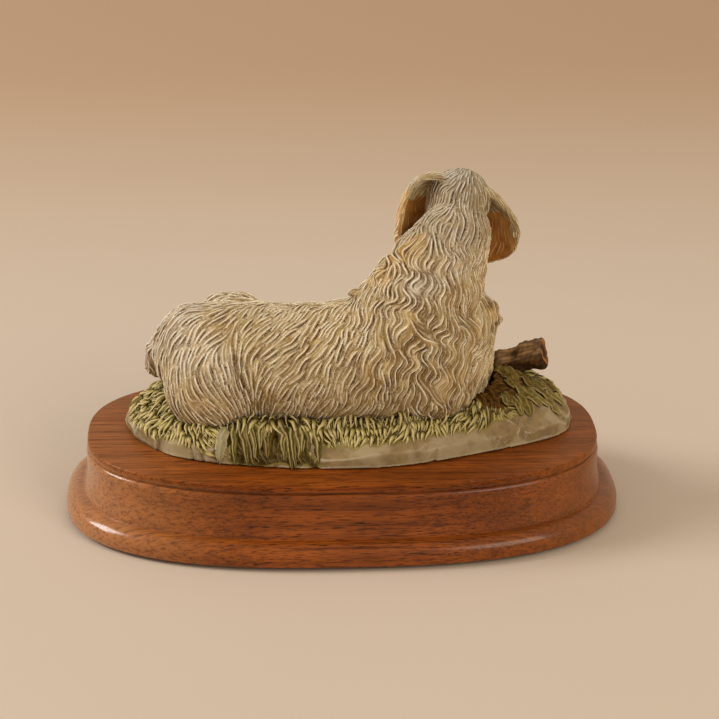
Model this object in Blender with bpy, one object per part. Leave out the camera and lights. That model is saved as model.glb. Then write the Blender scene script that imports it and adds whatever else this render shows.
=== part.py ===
"""Lying long-haired dog in painted cast resin on a grassy ground, screwed to an oval moulded wooden plinth.

The frame is +Z up, with the origin under the middle of the plinth. The dog lies along X with its rump
towards -X, and turns its head and forelegs to its left, towards +Y. Every length is in millimetres,
and MM turns it into metres.
"""

import math

import bmesh
import bpy
from mathutils import Matrix, Vector

MM = 0.001

# Fits
GLUE_GAP = 0.3
SCREW_CLEARANCE = 0.35

# Felt under the plinth
FELT_THICKNESS = 1.0
FELT_INSET = 2.6
FELT_CORNER = 0.25

# Plinth: a rounded oval outline with a moulded side
RIM_HALF_LENGTH = 85.0
RIM_HALF_WIDTH = 46.0
OVAL_POWER = 2.6
OVAL_POINTS = 64
PLINTH_TOP = 26.5
LIP_HEIGHT = 2.3
LIP_ROUND = 0.7
RECESS_DEPTH = 0.8
RECESS_HEIGHT = 0.8
SHOULDER_HEIGHT = 1.7
SHOULDER_REACH = 0.5
SHOULDER_STEPS = 3
FLARE_REACH = 2.0
FLARE_HOLLOW = 0.7
FLARE_STEPS = 4
STEP_REACH = 2.5
STEP_HEIGHT = 0.5
BEAD_TOP = 8.6
BEAD_REACH = 7.7
BEAD_STRAIGHT = 2.6
BEAD_STEPS = 5
BOTTOM_ROUND = 0.7
ROUND_STEPS = 2

# Screws from under the plinth into the ground casting
SCREW_SPREAD = 66.0
HEAD_RADIUS = 3.6
HEAD_HEIGHT = 2.4
HEAD_BEVEL = 0.8
SHANK_RADIUS = 1.75
ROOT_RADIUS = 1.25
THREAD_PITCH = 1.8
THREAD_LENGTH = 7.2
SCREW_BITE = 4.2
SCREW_POINT = 1.6
TIP_RADIUS = 0.25
SCREW_SIDES = 12
SLOT_WIDTH = 1.0
SLOT_LENGTH = 4.6
SLOT_DEPTH = 1.1
COUNTERBORE_DEPTH = 7.0
COUNTERBORE_RADIUS = 4.6
HOLE_SIDES = 20

# Ground casting: its outline seen from above, then heights above the top of the plinth
GROUND_OUTLINE = (
    (-73, 10), (-70, -7), (-57.5, -22), (-35, -30.5), (-6, -34.3), (17, -33), (43, -24.6), (71, -11.5),
    (78.3, 5), (74, 22), (57, 32), (24, 36), (-14, 35.5), (-48, 31), (-67, 22),
)
GROUND_POINTS = 64
RIM_HEIGHT = 4.8
RIM_LEAN = 1.2
MOUND_HEIGHT = 12.0
MOUND_RUN = 15.0
MOUND_RINGS = 5
BANK_CENTRE = (53, 4.5)
BANK_RISE = 8.0
BANK_SPREAD = 8.5
INNER_RINGS = (0.06, 0.12, 0.18, 0.25, 0.55)

# Dog: every height in its tables is measured from the top of the mound that it lies on
SEAT_DEPTH = 5.4

# Trunk, from the rump to the shoulders: centre, then half width and half height
TRUNK_KEYS = (
    ((-49, 0.5, 15.5), (17.0, 16.5)),
    ((-38, 0, 13.5), (20.0, 19.0)),
    ((-22, -1, 11.5), (22.0, 20.5)),
    ((-6, -1.5, 11), (22.5, 21.0)),
    ((8, -2, 13), (22.5, 22.0)),
    ((20, -2.5, 15.5), (21.5, 22.5)),
    ((33, -0.5, 16.5), (19.0, 22.5)),
)
TRUNK_END = 14.0

# Swellings on the trunk: centre, then three half sizes
SWELLINGS = {
    "right thigh": ((-42.5, -11.5, 8.5), (17.0, 12.5, 16.0)),
    "left hip": ((-36.5, 13.5, 19), (12.5, 11.0, 13.0)),
    "left thigh": ((-29, 19.5, 11), (14.5, 10.0, 12.5)),
    "right shoulder": ((27, -8.5, 17), (18.5, 15.0, 27.0)),
    "chest": ((38, 5, 12), (13.0, 15.0, 22.0)),
    "breast": ((42.5, 9.5, 21), (10.0, 9.5, 13.0)),
}

# Neck and limbs: centre and radius of the balls along them
NECK_KEYS = (
    ((21, -2, 25), 20.5),
    ((27.5, -1.5, 37.5), 18.0),
    ((32.5, -0.5, 48), 14.6),
    ((36.5, 1, 55.5), 11.6),
)
TAIL_KEYS = (
    ((-56, 4, 19.5), 5.0),
    ((-61.2, 7, 14), 4.6),
    ((-62.2, 12, 6.5), 4.3),
    ((-59, 20, 2.2), 4.5),
    ((-50, 27, 0.6), 4.3),
    ((-41, 29.5, 0.2), 3.3),
)
LEFT_HIND_KEYS = (
    ((-26, 27, 3), 4.4),
    ((-17, 29.5, -0.5), 3.6),
    ((-9, 30, -2), 3.9),
    ((-5, 30, -2.2), 4.2),
)
RIGHT_HIND_KEYS = (
    ((-8, 17, 1), 4.5),
    ((3, 24, 0), 3.6),
    ((9, 26.5, -1), 4.1),
)
LEFT_FORE_KEYS = (
    ((15, 14, 9), 7.5),
    ((20, 22, 3.5), 5.4),
    ((26, 30.5, -0.3), 4.1),
    ((28.5, 34, -1.6), 4.5),
)
RIGHT_FORE_KEYS = (
    ((36, 13, 10), 7.0),
    ((41, 20.5, 6), 5.2),
    ((46, 28, 0.8), 4.1),
    ((48, 31.5, -1.2), 4.5),
)
BALL_SPACING = 1.6

# Head: in its own frame its front is along +X and its left along +Y
HEAD_CENTRE = (38.0, 9.5, 63.6)
HEAD_TURN = 85.0
HEAD_TILT = 14.0
HEAD_NOD = 8.0
HEAD_FORMS = {
    "skull": ((0, 0, 0.6), (11.0, 10.4, 10.8)),
    "brow": ((6.5, 0, 2.2), (5.4, 7.4, 5.0)),
    "cheeks": ((3.5, 0, -4), (9.0, 9.8, 7.6)),
    "nape": ((-4, 0, -7), (9.0, 10.2, 9.5)),
    "throat": ((-1, 0, -12), (9.5, 8.5, 8.5)),
    "lips": ((15, 0, -6.2), (7.6, 6.0, 4.2)),
    "nose": ((22.4, 0, -2.4), (3.2, 4.0, 3.4)),
    "jaw": ((13, 0, -9.2), (8.8, 4.6, 3.0)),
}
MUZZLE_KEYS = (
    ((6, 0, -3.0), 7.6),
    ((12, 0, -3.4), 6.3),
    ((19, 0, -3.6), 5.6),
)

# Ears: each row crosses the flap from its rear rim to its front edge, from the root down to the tip
LEFT_EAR_ROWS = (
    ((-6, 6.5, 7.5), (3, 6.5, 7)),
    ((-7, 12.5, 7.5), (3.5, 9, 5)),
    ((-7, 16.5, 2.5), (4, 9, 0.5)),
    ((-5.5, 18, -5), (4, 9, -4.5)),
    ((-5, 17, -12), (4, 9.5, -10.5)),
    ((-4.5, 16.5, -18.5), (3, 11, -16)),
)
RIGHT_EAR_ROWS = (
    ((-6, -5, 7.5), (3, -5, 7)),
    ((-5, -12, 4.5), (4, -9, 4.5)),
    ((-4, -17, 1.5), (5, -9, 0)),
    ((-2, -21.5, -3), (5, -9, -6)),
    ((0, -23, -7.5), (5, -9, -13)),
    ((2, -22, -13.5), (4.5, -10, -21.5)),
)
EAR_BOWS = (0.5, 2.5, 4.0, 4.5, 3.5, 2.0)
BOW_FORWARD = 0.5
BOW_OUTWARD = 0.85
EAR_THICKNESS = 2.2
EAR_COLUMNS = 5

# Log: a short branch that leans out of the bank
LOG_LOW_END = (36, 15, -1.5)
LOG_HIGH_END = (68.5, 8, 10.6)
LOG_LOW_RADIUS = 3.6
LOG_HIGH_RADIUS = 4.9
LOG_GNARL = 0.35
LOG_SIDES = 16
LOG_RINGS = 7
THREE_SIDED_TWIST = 5
FIVE_SIDED_TWIST = -3

# Grain of the sculpted forms
VOXEL = 1.2
SOFTENING = 8
BODY_KEEP = 0.075
HEAD_KEEP = 0.13
LIMB_KEEP = 0.12

# Edges sharper than this, in degrees, are shaded as edges
MACHINED_EDGE = 30
SCULPTED_EDGE = 50

WOOD = ("mahogany_stained_wood", (0.33, 0.12, 0.045), 0.36, 0.0)
FELT = ("green_felt", (0.05, 0.12, 0.07), 0.95, 0.0)
STEEL = ("zinc_plated_steel", (0.62, 0.62, 0.6), 0.35, 1.0)
CREAM = ("cream_painted_resin", (0.78, 0.7, 0.53), 0.62, 0.0)
GRASS = ("grass_painted_resin", (0.44, 0.45, 0.24), 0.66, 0.0)
BARK = ("bark_painted_resin", (0.2, 0.13, 0.08), 0.7, 0.0)


def clear_scene():
    for old in list(bpy.data.objects):
        bpy.data.objects.remove(old)


def material(words):
    name, colour, roughness, metallic = words
    found = bpy.data.materials.get(name)
    if found:
        return found
    made = bpy.data.materials.new(name)
    made.use_nodes = True
    shader = made.node_tree.nodes["Principled BSDF"]
    shader.inputs["Base Color"].default_value = (*colour, 1.0)
    shader.inputs["Roughness"].default_value = roughness
    shader.inputs["Metallic"].default_value = metallic
    return made


def add_object(name, mesh, words=None, parent=None):
    obj = bpy.data.objects.new(name, mesh)
    bpy.context.scene.collection.objects.link(obj)
    if words:
        obj.data.materials.append(material(words))
    obj.parent = parent
    return obj


def add_frame(name, place, parent=None):
    """An empty at this place. Pieces parented to it are modelled in its frame."""
    frame = bpy.data.objects.new(name, None)
    bpy.context.scene.collection.objects.link(frame)
    frame.location = Vector(place) * MM
    frame.parent = parent
    return frame


def finish_mesh(name, form):
    bmesh.ops.recalc_face_normals(form, faces=form.faces)
    mesh = bpy.data.meshes.new(name)
    form.to_mesh(mesh)
    form.free()
    return mesh


def shade(obj, sharp_angle):
    obj.data.shade_smooth()
    obj.data.set_sharp_from_angle(angle=math.radians(sharp_angle))


def helper(obj):
    obj.hide_render = True
    obj.display_type = "WIRE"
    return obj


def cut(obj, cutter):
    step = obj.modifiers.new("cut by " + cutter.name, "BOOLEAN")
    step.operation = "DIFFERENCE"
    step.object = cutter


# Shapes that several pieces share


def stack_rings(name, rings):
    """A closed mesh through rings of points, with the first and last ring filled."""
    form = bmesh.new()
    rows = [[form.verts.new(Vector(point) * MM) for point in ring] for ring in rings]
    count = len(rows[0])
    for low, high in zip(rows, rows[1:]):
        for i in range(count):
            j = (i + 1) % count
            form.faces.new((low[i], low[j], high[j], high[i]))
    form.faces.new(rows[0][::-1])
    form.faces.new(rows[-1])
    return finish_mesh(name, form)


def turned(profile, sides):
    """Rings of a round piece from its (radius, height) pairs."""
    angles = [math.tau * i / sides for i in range(sides)]
    return [[(r * math.cos(a), r * math.sin(a), z) for a in angles] for r, z in profile]


def arc(centre, radii, start, end, steps):
    """Points of an elliptical arc in a profile, from start to end in degrees."""
    angles = [math.radians(start + (end - start) * i / steps) for i in range(steps + 1)]
    return [(centre[0] + radii[0] * math.cos(a), centre[1] + radii[1] * math.sin(a)) for a in angles]


def box(name, size, place):
    """A block of this size, centred on place."""
    form = bmesh.new()
    stretch = Matrix.Diagonal((*size, 1))
    bmesh.ops.create_cube(form, size=MM, matrix=Matrix.Translation(Vector(place) * MM) @ stretch)
    return add_object(name, finish_mesh(name, form))


# Felt, plinth and screws


def oval(grow):
    """Points of the plinth's outline, moved outwards by grow."""
    points = []
    for i in range(OVAL_POINTS):
        angle = math.tau * i / OVAL_POINTS
        across, along = math.cos(angle), math.sin(angle)
        x = math.copysign(abs(across) ** (2 / OVAL_POWER), across)
        y = math.copysign(abs(along) ** (2 / OVAL_POWER), along)
        steep_x = math.copysign(abs(x) ** (OVAL_POWER - 1), x) / RIM_HALF_LENGTH
        steep_y = math.copysign(abs(y) ** (OVAL_POWER - 1), y) / RIM_HALF_WIDTH
        outward = Vector((steep_x, steep_y)).normalized() * grow
        points.append((x * RIM_HALF_LENGTH + outward.x, y * RIM_HALF_WIDTH + outward.y))
    return points


def oval_rings(profile):
    """The oval carried up a profile of (outward offset, height) pairs."""
    return [[(x, y, z) for x, y in oval(grow)] for grow, z in profile]


def plinth_base():
    return FELT_THICKNESS + GLUE_GAP


def counterbore_end():
    return plinth_base() + COUNTERBORE_DEPTH


def plinth_profile():
    """The moulded side, from the foot up: bead, flared band, recess and lip."""
    base = plinth_base()
    bead_low = base + BEAD_STRAIGHT
    flare_low = BEAD_TOP + STEP_HEIGHT
    lip_low = PLINTH_TOP - LIP_HEIGHT
    shoulder_low = lip_low - RECESS_HEIGHT - SHOULDER_HEIGHT
    foot = (BEAD_REACH - BOTTOM_ROUND, base + BOTTOM_ROUND)
    profile = arc(foot, (BOTTOM_ROUND, BOTTOM_ROUND), -90, 0, ROUND_STEPS)
    bead = (BEAD_REACH - STEP_REACH, BEAD_TOP - bead_low)
    profile += arc((STEP_REACH, bead_low), bead, 0, 90, BEAD_STEPS)
    profile += [(FLARE_REACH, BEAD_TOP), (FLARE_REACH, flare_low)]
    for i in range(1, FLARE_STEPS + 1):
        up = i / FLARE_STEPS
        reach = FLARE_REACH + (SHOULDER_REACH - FLARE_REACH) * up - FLARE_HOLLOW * math.sin(math.pi * up)
        profile.append((reach, flare_low + (shoulder_low - flare_low) * up))
    shoulder = (SHOULDER_REACH + RECESS_DEPTH, SHOULDER_HEIGHT)
    profile += arc((-RECESS_DEPTH, shoulder_low), shoulder, 0, 90, SHOULDER_STEPS)[1:]
    profile += [(-RECESS_DEPTH, lip_low), (0, lip_low)]
    profile += arc((-LIP_ROUND, PLINTH_TOP - LIP_ROUND), (LIP_ROUND, LIP_ROUND), 0, 90, ROUND_STEPS)
    return profile


def screw_places():
    return {"screw_rear": -SCREW_SPREAD / 2, "screw_front": SCREW_SPREAD / 2}


def make_plinth():
    plinth = add_object("wood_plinth", stack_rings("wood_plinth", oval_rings(plinth_profile())), WOOD)
    hole = SHANK_RADIUS + SCREW_CLEARANCE
    end = counterbore_end()
    profile = (
        (COUNTERBORE_RADIUS, 0), (COUNTERBORE_RADIUS, end),
        (hole, end), (hole, PLINTH_TOP + GLUE_GAP),
    )
    for name, x in screw_places().items():
        drill = helper(add_object("hole_for_" + name, stack_rings("hole", turned(profile, HOLE_SIDES))))
        drill.location.x = x * MM
        cut(plinth, drill)
    shade(plinth, MACHINED_EDGE)


def make_felt():
    reach = BEAD_REACH - FELT_INSET
    top = FELT_THICKNESS
    profile = (
        (reach - FELT_CORNER, 0), (reach, FELT_CORNER),
        (reach, top - FELT_CORNER), (reach - FELT_CORNER, top),
    )
    felt = add_object("felt_pad", stack_rings("felt_pad", oval_rings(profile)), FELT)
    shade(felt, MACHINED_EDGE)


def screw_tip():
    return PLINTH_TOP + GLUE_GAP + SCREW_BITE


def make_screws():
    """Pan-head screws with a cross slot, whose rings near the tip stand for the thread."""
    bearing = counterbore_end() - GLUE_GAP
    head_low = bearing - HEAD_HEIGHT
    thread_low = screw_tip() - THREAD_LENGTH
    profile = [(HEAD_RADIUS - HEAD_BEVEL, head_low), (HEAD_RADIUS, head_low + HEAD_BEVEL)]
    profile += [(HEAD_RADIUS, bearing), (SHANK_RADIUS, bearing), (SHANK_RADIUS, thread_low)]
    turns = int((THREAD_LENGTH - SCREW_POINT) / THREAD_PITCH)
    for i in range(turns):
        middle = thread_low + THREAD_PITCH * (i + 1 / 2)
        profile += [(ROOT_RADIUS, middle - THREAD_PITCH / 4), (ROOT_RADIUS, middle)]
        profile.append((SHANK_RADIUS, middle + THREAD_PITCH / 4))
    profile += [(ROOT_RADIUS, screw_tip() - SCREW_POINT), (TIP_RADIUS, screw_tip())]
    for name, x in screw_places().items():
        screw = add_object(name, stack_rings(name, turned(profile, SCREW_SIDES)), STEEL)
        screw.location.x = x * MM
        for i, size in enumerate(((SLOT_LENGTH, SLOT_WIDTH), (SLOT_WIDTH, SLOT_LENGTH))):
            cut(screw, helper(box(f"slot_{i}_of_{name}", (*size, 2 * SLOT_DEPTH), (x, 0, head_low))))
        shade(screw, MACHINED_EDGE)


# Ground and log


def closed_spline(points, count):
    """Points along a smooth closed curve through the outline's own points."""
    made = []
    total = len(points)
    for i in range(count):
        k, u = divmod(i * total / count, 1)
        before, start, end, after = [Vector(points[(int(k) + step) % total]) for step in (-1, 0, 1, 2)]
        slope_in, slope_out = (end - before) / 2, (after - start) / 2
        place = start * (2 * u**3 - 3 * u**2 + 1) + end * (-2 * u**3 + 3 * u**2)
        made.append(place + slope_in * (u**3 - 2 * u**2 + u) + slope_out * (u**3 - u**2))
    return made


def bank_height(point):
    away = (point - Vector(BANK_CENTRE)).length
    return BANK_RISE * math.exp(-((away / BANK_SPREAD) ** 2))


def make_ground():
    """A low rim stands on the plinth, and rings lead from it to the mound and the bank by the log."""
    outline = closed_spline(GROUND_OUTLINE, GROUND_POINTS)
    middle = sum(outline, Vector((0, 0))) / len(outline)
    low = PLINTH_TOP + GLUE_GAP
    rings = [[(*p, low) for p in outline]]
    for i in range(MOUND_RINGS + 1):
        run = i / MOUND_RINGS
        up = math.sin(math.pi / 2 * run)
        base = PLINTH_TOP + RIM_HEIGHT + (MOUND_HEIGHT - RIM_HEIGHT) * up
        ring = [p + (middle - p).normalized() * (RIM_LEAN + (MOUND_RUN - RIM_LEAN) * run) for p in outline]
        rings.append([(*p, base + bank_height(p) * up) for p in ring])
    for share in INNER_RINGS:
        inner = [p.lerp(middle, share) for p in ring]
        rings.append([(*p, PLINTH_TOP + MOUND_HEIGHT + bank_height(p)) for p in inner])
    return add_object("ground_casting", stack_rings("ground_casting", rings), GRASS)


def make_log(parent):
    """A gnarled round branch between its two ends."""
    low, high = Vector(LOG_LOW_END), Vector(LOG_HIGH_END)
    turn = (high - low).to_track_quat("Z", "Y").to_matrix()
    rings = []
    for i in range(LOG_RINGS + 1):
        run = i / LOG_RINGS
        ring = []
        for k in range(LOG_SIDES):
            angle = math.tau * k / LOG_SIDES
            three_sided = math.sin(3 * angle + THREE_SIDED_TWIST * run)
            five_sided = math.cos(5 * angle + FIVE_SIDED_TWIST * run)
            radius = LOG_LOW_RADIUS + (LOG_HIGH_RADIUS - LOG_LOW_RADIUS) * run
            radius += LOG_GNARL * (three_sided + five_sided)
            spoke = Vector((radius * math.cos(angle), radius * math.sin(angle), 0))
            ring.append(low.lerp(high, run) + turn @ spoke)
        rings.append(ring)
    return add_object("log", stack_rings("log", rings), BARK, parent)


# Dog


def ball_row(keys):
    """Balls close together along a limb's keys, which melt into a tapering limb."""
    row = []
    for (start, thick), (end, thin) in zip(keys, keys[1:]):
        start, end = Vector(start), Vector(end)
        steps = max(2, round((end - start).length / BALL_SPACING))
        for i in range(steps + 1):
            radius = thick + (thin - thick) * i / steps
            row.append((start.lerp(end, i / steps), (radius, radius, radius)))
    return row


def trunk_row():
    """Flattened balls close together along the trunk."""
    row = []
    for (start, sizes), (end, next_sizes) in zip(TRUNK_KEYS, TRUNK_KEYS[1:]):
        start, end = Vector(start), Vector(end)
        steps = max(2, round((end - start).length / (2 * BALL_SPACING)))
        for i in range(steps + 1):
            width, height = Vector(sizes).lerp(Vector(next_sizes), i / steps)
            row.append((start.lerp(end, i / steps), (TRUNK_END, width, height)))
    return row


def melt(obj, keep):
    """One skin round all the forms of the mesh, softened where they meet and thinned to few faces."""
    skin = obj.modifiers.new("skin", "REMESH")
    skin.mode = "VOXEL"
    skin.voxel_size = VOXEL * MM
    soften = obj.modifiers.new("soften", "SMOOTH")
    soften.iterations = SOFTENING
    thin = obj.modifiers.new("thin", "DECIMATE")
    thin.ratio = keep


def thicken(obj):
    """The wall of an ear, rounded off."""
    wall = obj.modifiers.new("wall", "SOLIDIFY")
    wall.thickness = EAR_THICKNESS * MM
    wall.offset = 0.0
    rounding = obj.modifiers.new("rounding", "SUBSURF")
    rounding.levels = 1
    rounding.render_levels = 1


def room_for(name, mesh, parent, shape=None):
    """A cutter that keeps the glue gap round a piece with this mesh."""
    room = helper(add_object("room_for_" + name, mesh, parent=parent))
    if shape:
        shape(room)
    grow = room.modifiers.new("grow", "DISPLACE")
    grow.mid_level = 0.0
    grow.strength = GLUE_GAP * MM
    return room


def sculpt_mesh(name, forms):
    """Rounded forms in one mesh, each from its centre and three half sizes."""
    lumps = bmesh.new()
    for centre, sizes in forms:
        stretch = Matrix.Diagonal((*[size * MM for size in sizes], 1))
        place = Matrix.Translation(Vector(centre) * MM)
        bmesh.ops.create_icosphere(lumps, subdivisions=3, radius=1.0, matrix=place @ stretch)
    return finish_mesh(name, lumps)


def ear_mesh(name, rows):
    """A bowed sheet through the rows."""
    sheet = bmesh.new()
    grid = []
    for (rear, front), bow in zip(rows, EAR_BOWS):
        rear, front = Vector(rear), Vector(front)
        outward = Vector((BOW_FORWARD, math.copysign(BOW_OUTWARD, rear.y), 0)) * bow
        line = []
        for i in range(EAR_COLUMNS):
            share = i / (EAR_COLUMNS - 1)
            place = rear.lerp(front, share) + outward * math.sin(math.pi * share)
            line.append(sheet.verts.new(place * MM))
        grid.append(line)
    for upper, lower in zip(grid, grid[1:]):
        for i in range(EAR_COLUMNS - 1):
            sheet.faces.new((upper[i], upper[i + 1], lower[i + 1], lower[i]))
    return finish_mesh(name, sheet)


def make_body(lair, ground):
    """The trunk and neck in one casting, flat underneath, and its pocket in the ground."""
    mesh = sculpt_mesh("body_casting", trunk_row() + list(SWELLINGS.values()) + ball_row(NECK_KEYS))
    body = add_object("body_casting", mesh, CREAM, lair)
    melt(body, BODY_KEEP)
    room = room_for("body", mesh, lair, lambda obj: melt(obj, BODY_KEEP))
    block = (4 * RIM_HALF_LENGTH, 4 * RIM_HALF_WIDTH, 2 * MOUND_HEIGHT)
    seat = PLINTH_TOP + MOUND_HEIGHT - SEAT_DEPTH
    cut(body, helper(box("flat_seat", block, (0, 0, seat - MOUND_HEIGHT))))
    pocket = room_for("pocket", mesh, lair, lambda obj: melt(obj, BODY_KEEP))
    cut(pocket, helper(box("flat_pocket", block, (0, 0, seat - GLUE_GAP - MOUND_HEIGHT))))
    cut(ground, pocket)
    shade(body, SCULPTED_EDGE)
    return room


def make_head(lair, body_room):
    place = add_frame("head_frame", HEAD_CENTRE, lair)
    place.rotation_euler = [math.radians(angle) for angle in (HEAD_TILT, HEAD_NOD, HEAD_TURN)]
    mesh = sculpt_mesh("head_casting", list(HEAD_FORMS.values()) + ball_row(MUZZLE_KEYS))
    head = add_object("head_casting", mesh, CREAM, place)
    melt(head, HEAD_KEEP)
    cut(head, body_room)
    shade(head, SCULPTED_EDGE)
    head_room = room_for("head", mesh, place, lambda obj: melt(obj, HEAD_KEEP))
    for name, rows in (("left_ear", LEFT_EAR_ROWS), ("right_ear", RIGHT_EAR_ROWS)):
        ear = add_object(name, ear_mesh(name, rows), CREAM, place)
        thicken(ear)
        cut(ear, head_room)
        cut(ear, body_room)
        shade(ear, SCULPTED_EDGE)


def make_limbs(lair, rooms, log_room):
    limbs = {
        "tail": TAIL_KEYS,
        "left_hind_foot": LEFT_HIND_KEYS,
        "right_hind_foot": RIGHT_HIND_KEYS,
        "left_foreleg": LEFT_FORE_KEYS,
        "right_foreleg": RIGHT_FORE_KEYS,
    }
    for name, keys in limbs.items():
        limb = add_object(name, sculpt_mesh(name, ball_row(keys)), CREAM, lair)
        melt(limb, LIMB_KEEP)
        for room in rooms:
            cut(limb, room)
        if name.endswith("foreleg"):
            cut(limb, log_room)
        shade(limb, SCULPTED_EDGE)


def drill_pilots(ground):
    """Holes in the ground casting for the screws' tips."""
    hole = SHANK_RADIUS + SCREW_CLEARANCE
    profile = ((hole, PLINTH_TOP - GLUE_GAP), (hole, screw_tip() + SCREW_CLEARANCE))
    for name, x in screw_places().items():
        pilot = helper(add_object("pilot_for_" + name, stack_rings("pilot", turned(profile, SCREW_SIDES))))
        pilot.location.x = x * MM
        cut(ground, pilot)


def main():
    clear_scene()
    make_felt()
    make_plinth()
    make_screws()
    lair = add_frame("top_of_mound", (0, 0, PLINTH_TOP + MOUND_HEIGHT))
    ground = make_ground()
    ground_room = room_for("ground", ground.data, None)
    body_room = make_body(lair, ground)
    drill_pilots(ground)
    shade(ground, SCULPTED_EDGE)
    make_head(lair, body_room)
    log = make_log(lair)
    cut(log, body_room)
    shade(log, MACHINED_EDGE)
    log_room = room_for("log", log.data, lair)
    cut(ground, log_room)
    make_limbs(lair, (body_room, ground_room), log_room)


main()
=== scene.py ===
"""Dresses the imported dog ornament: carved and painted coat, grass, log, stained plinth, light and camera.

Lengths in the tables are in millimetres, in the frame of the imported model.
"""

import math
import random
from collections import deque

import bmesh
import bpy
import numpy as np
from mathutils import Euler, Matrix, Vector
from mathutils.bvhtree import BVHTree
from mathutils.kdtree import KDTree


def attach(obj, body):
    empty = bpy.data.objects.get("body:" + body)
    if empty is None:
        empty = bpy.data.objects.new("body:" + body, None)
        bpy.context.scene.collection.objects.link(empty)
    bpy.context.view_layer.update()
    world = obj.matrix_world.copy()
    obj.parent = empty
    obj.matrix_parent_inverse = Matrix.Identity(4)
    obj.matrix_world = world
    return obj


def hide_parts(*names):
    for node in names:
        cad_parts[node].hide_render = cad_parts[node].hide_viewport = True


bl_info = {
    "name": "Lying dog ornament",
    "version": (1, 0, 0),
    "blender": (4, 5, 0),
    "location": "3D View > Sidebar > Ornament",
    "description": "Models and paints a lying long-haired dog on a grassy ground and an oval plinth",
    "category": "Object",
}

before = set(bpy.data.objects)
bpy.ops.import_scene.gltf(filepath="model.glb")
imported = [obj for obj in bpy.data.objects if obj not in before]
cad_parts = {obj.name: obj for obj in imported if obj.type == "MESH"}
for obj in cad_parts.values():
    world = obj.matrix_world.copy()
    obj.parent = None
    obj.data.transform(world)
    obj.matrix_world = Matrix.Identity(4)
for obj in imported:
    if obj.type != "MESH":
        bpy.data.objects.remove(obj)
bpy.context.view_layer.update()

MM = 0.001
UP = Vector((0, 0, 1))
PLINTH_TOP = 26.5
SEAT = 33.1
SETTINGS = "dog_ornament"

# Dog: the castings that the coat covers
DOG_NODES = (
    "body_casting", "head_casting", "left_ear", "right_ear", "tail",
    "left_foreleg", "right_foreleg", "left_hind_foot", "right_hind_foot",
)
# Where three of them stand in that row, counted from 0
HEAD, LEFT_EAR, RIGHT_EAR = 1, 2, 3
HEAD_PLACE = Vector((38.0, 9.5, 102.1))
HEAD_TURN = Euler([math.radians(angle) for angle in (14, 8, 85)])
# How far the castings are swelled to close their joints, and the most triangles in a piece of the coat
JOINT_FILL = 0.24
FACE_LIMIT = 196000
WAVE_LENGTH = 10.0
# Rounds of smoothing after the joints are closed, and below what height no hair is combed
COAT_SMOOTHING = 22
COAT_FOOT = SEAT + 1.2
# Rounds in which each vertex takes the casting that most of its neighbours belong to
PARTING_ROUNDS = 6

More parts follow.
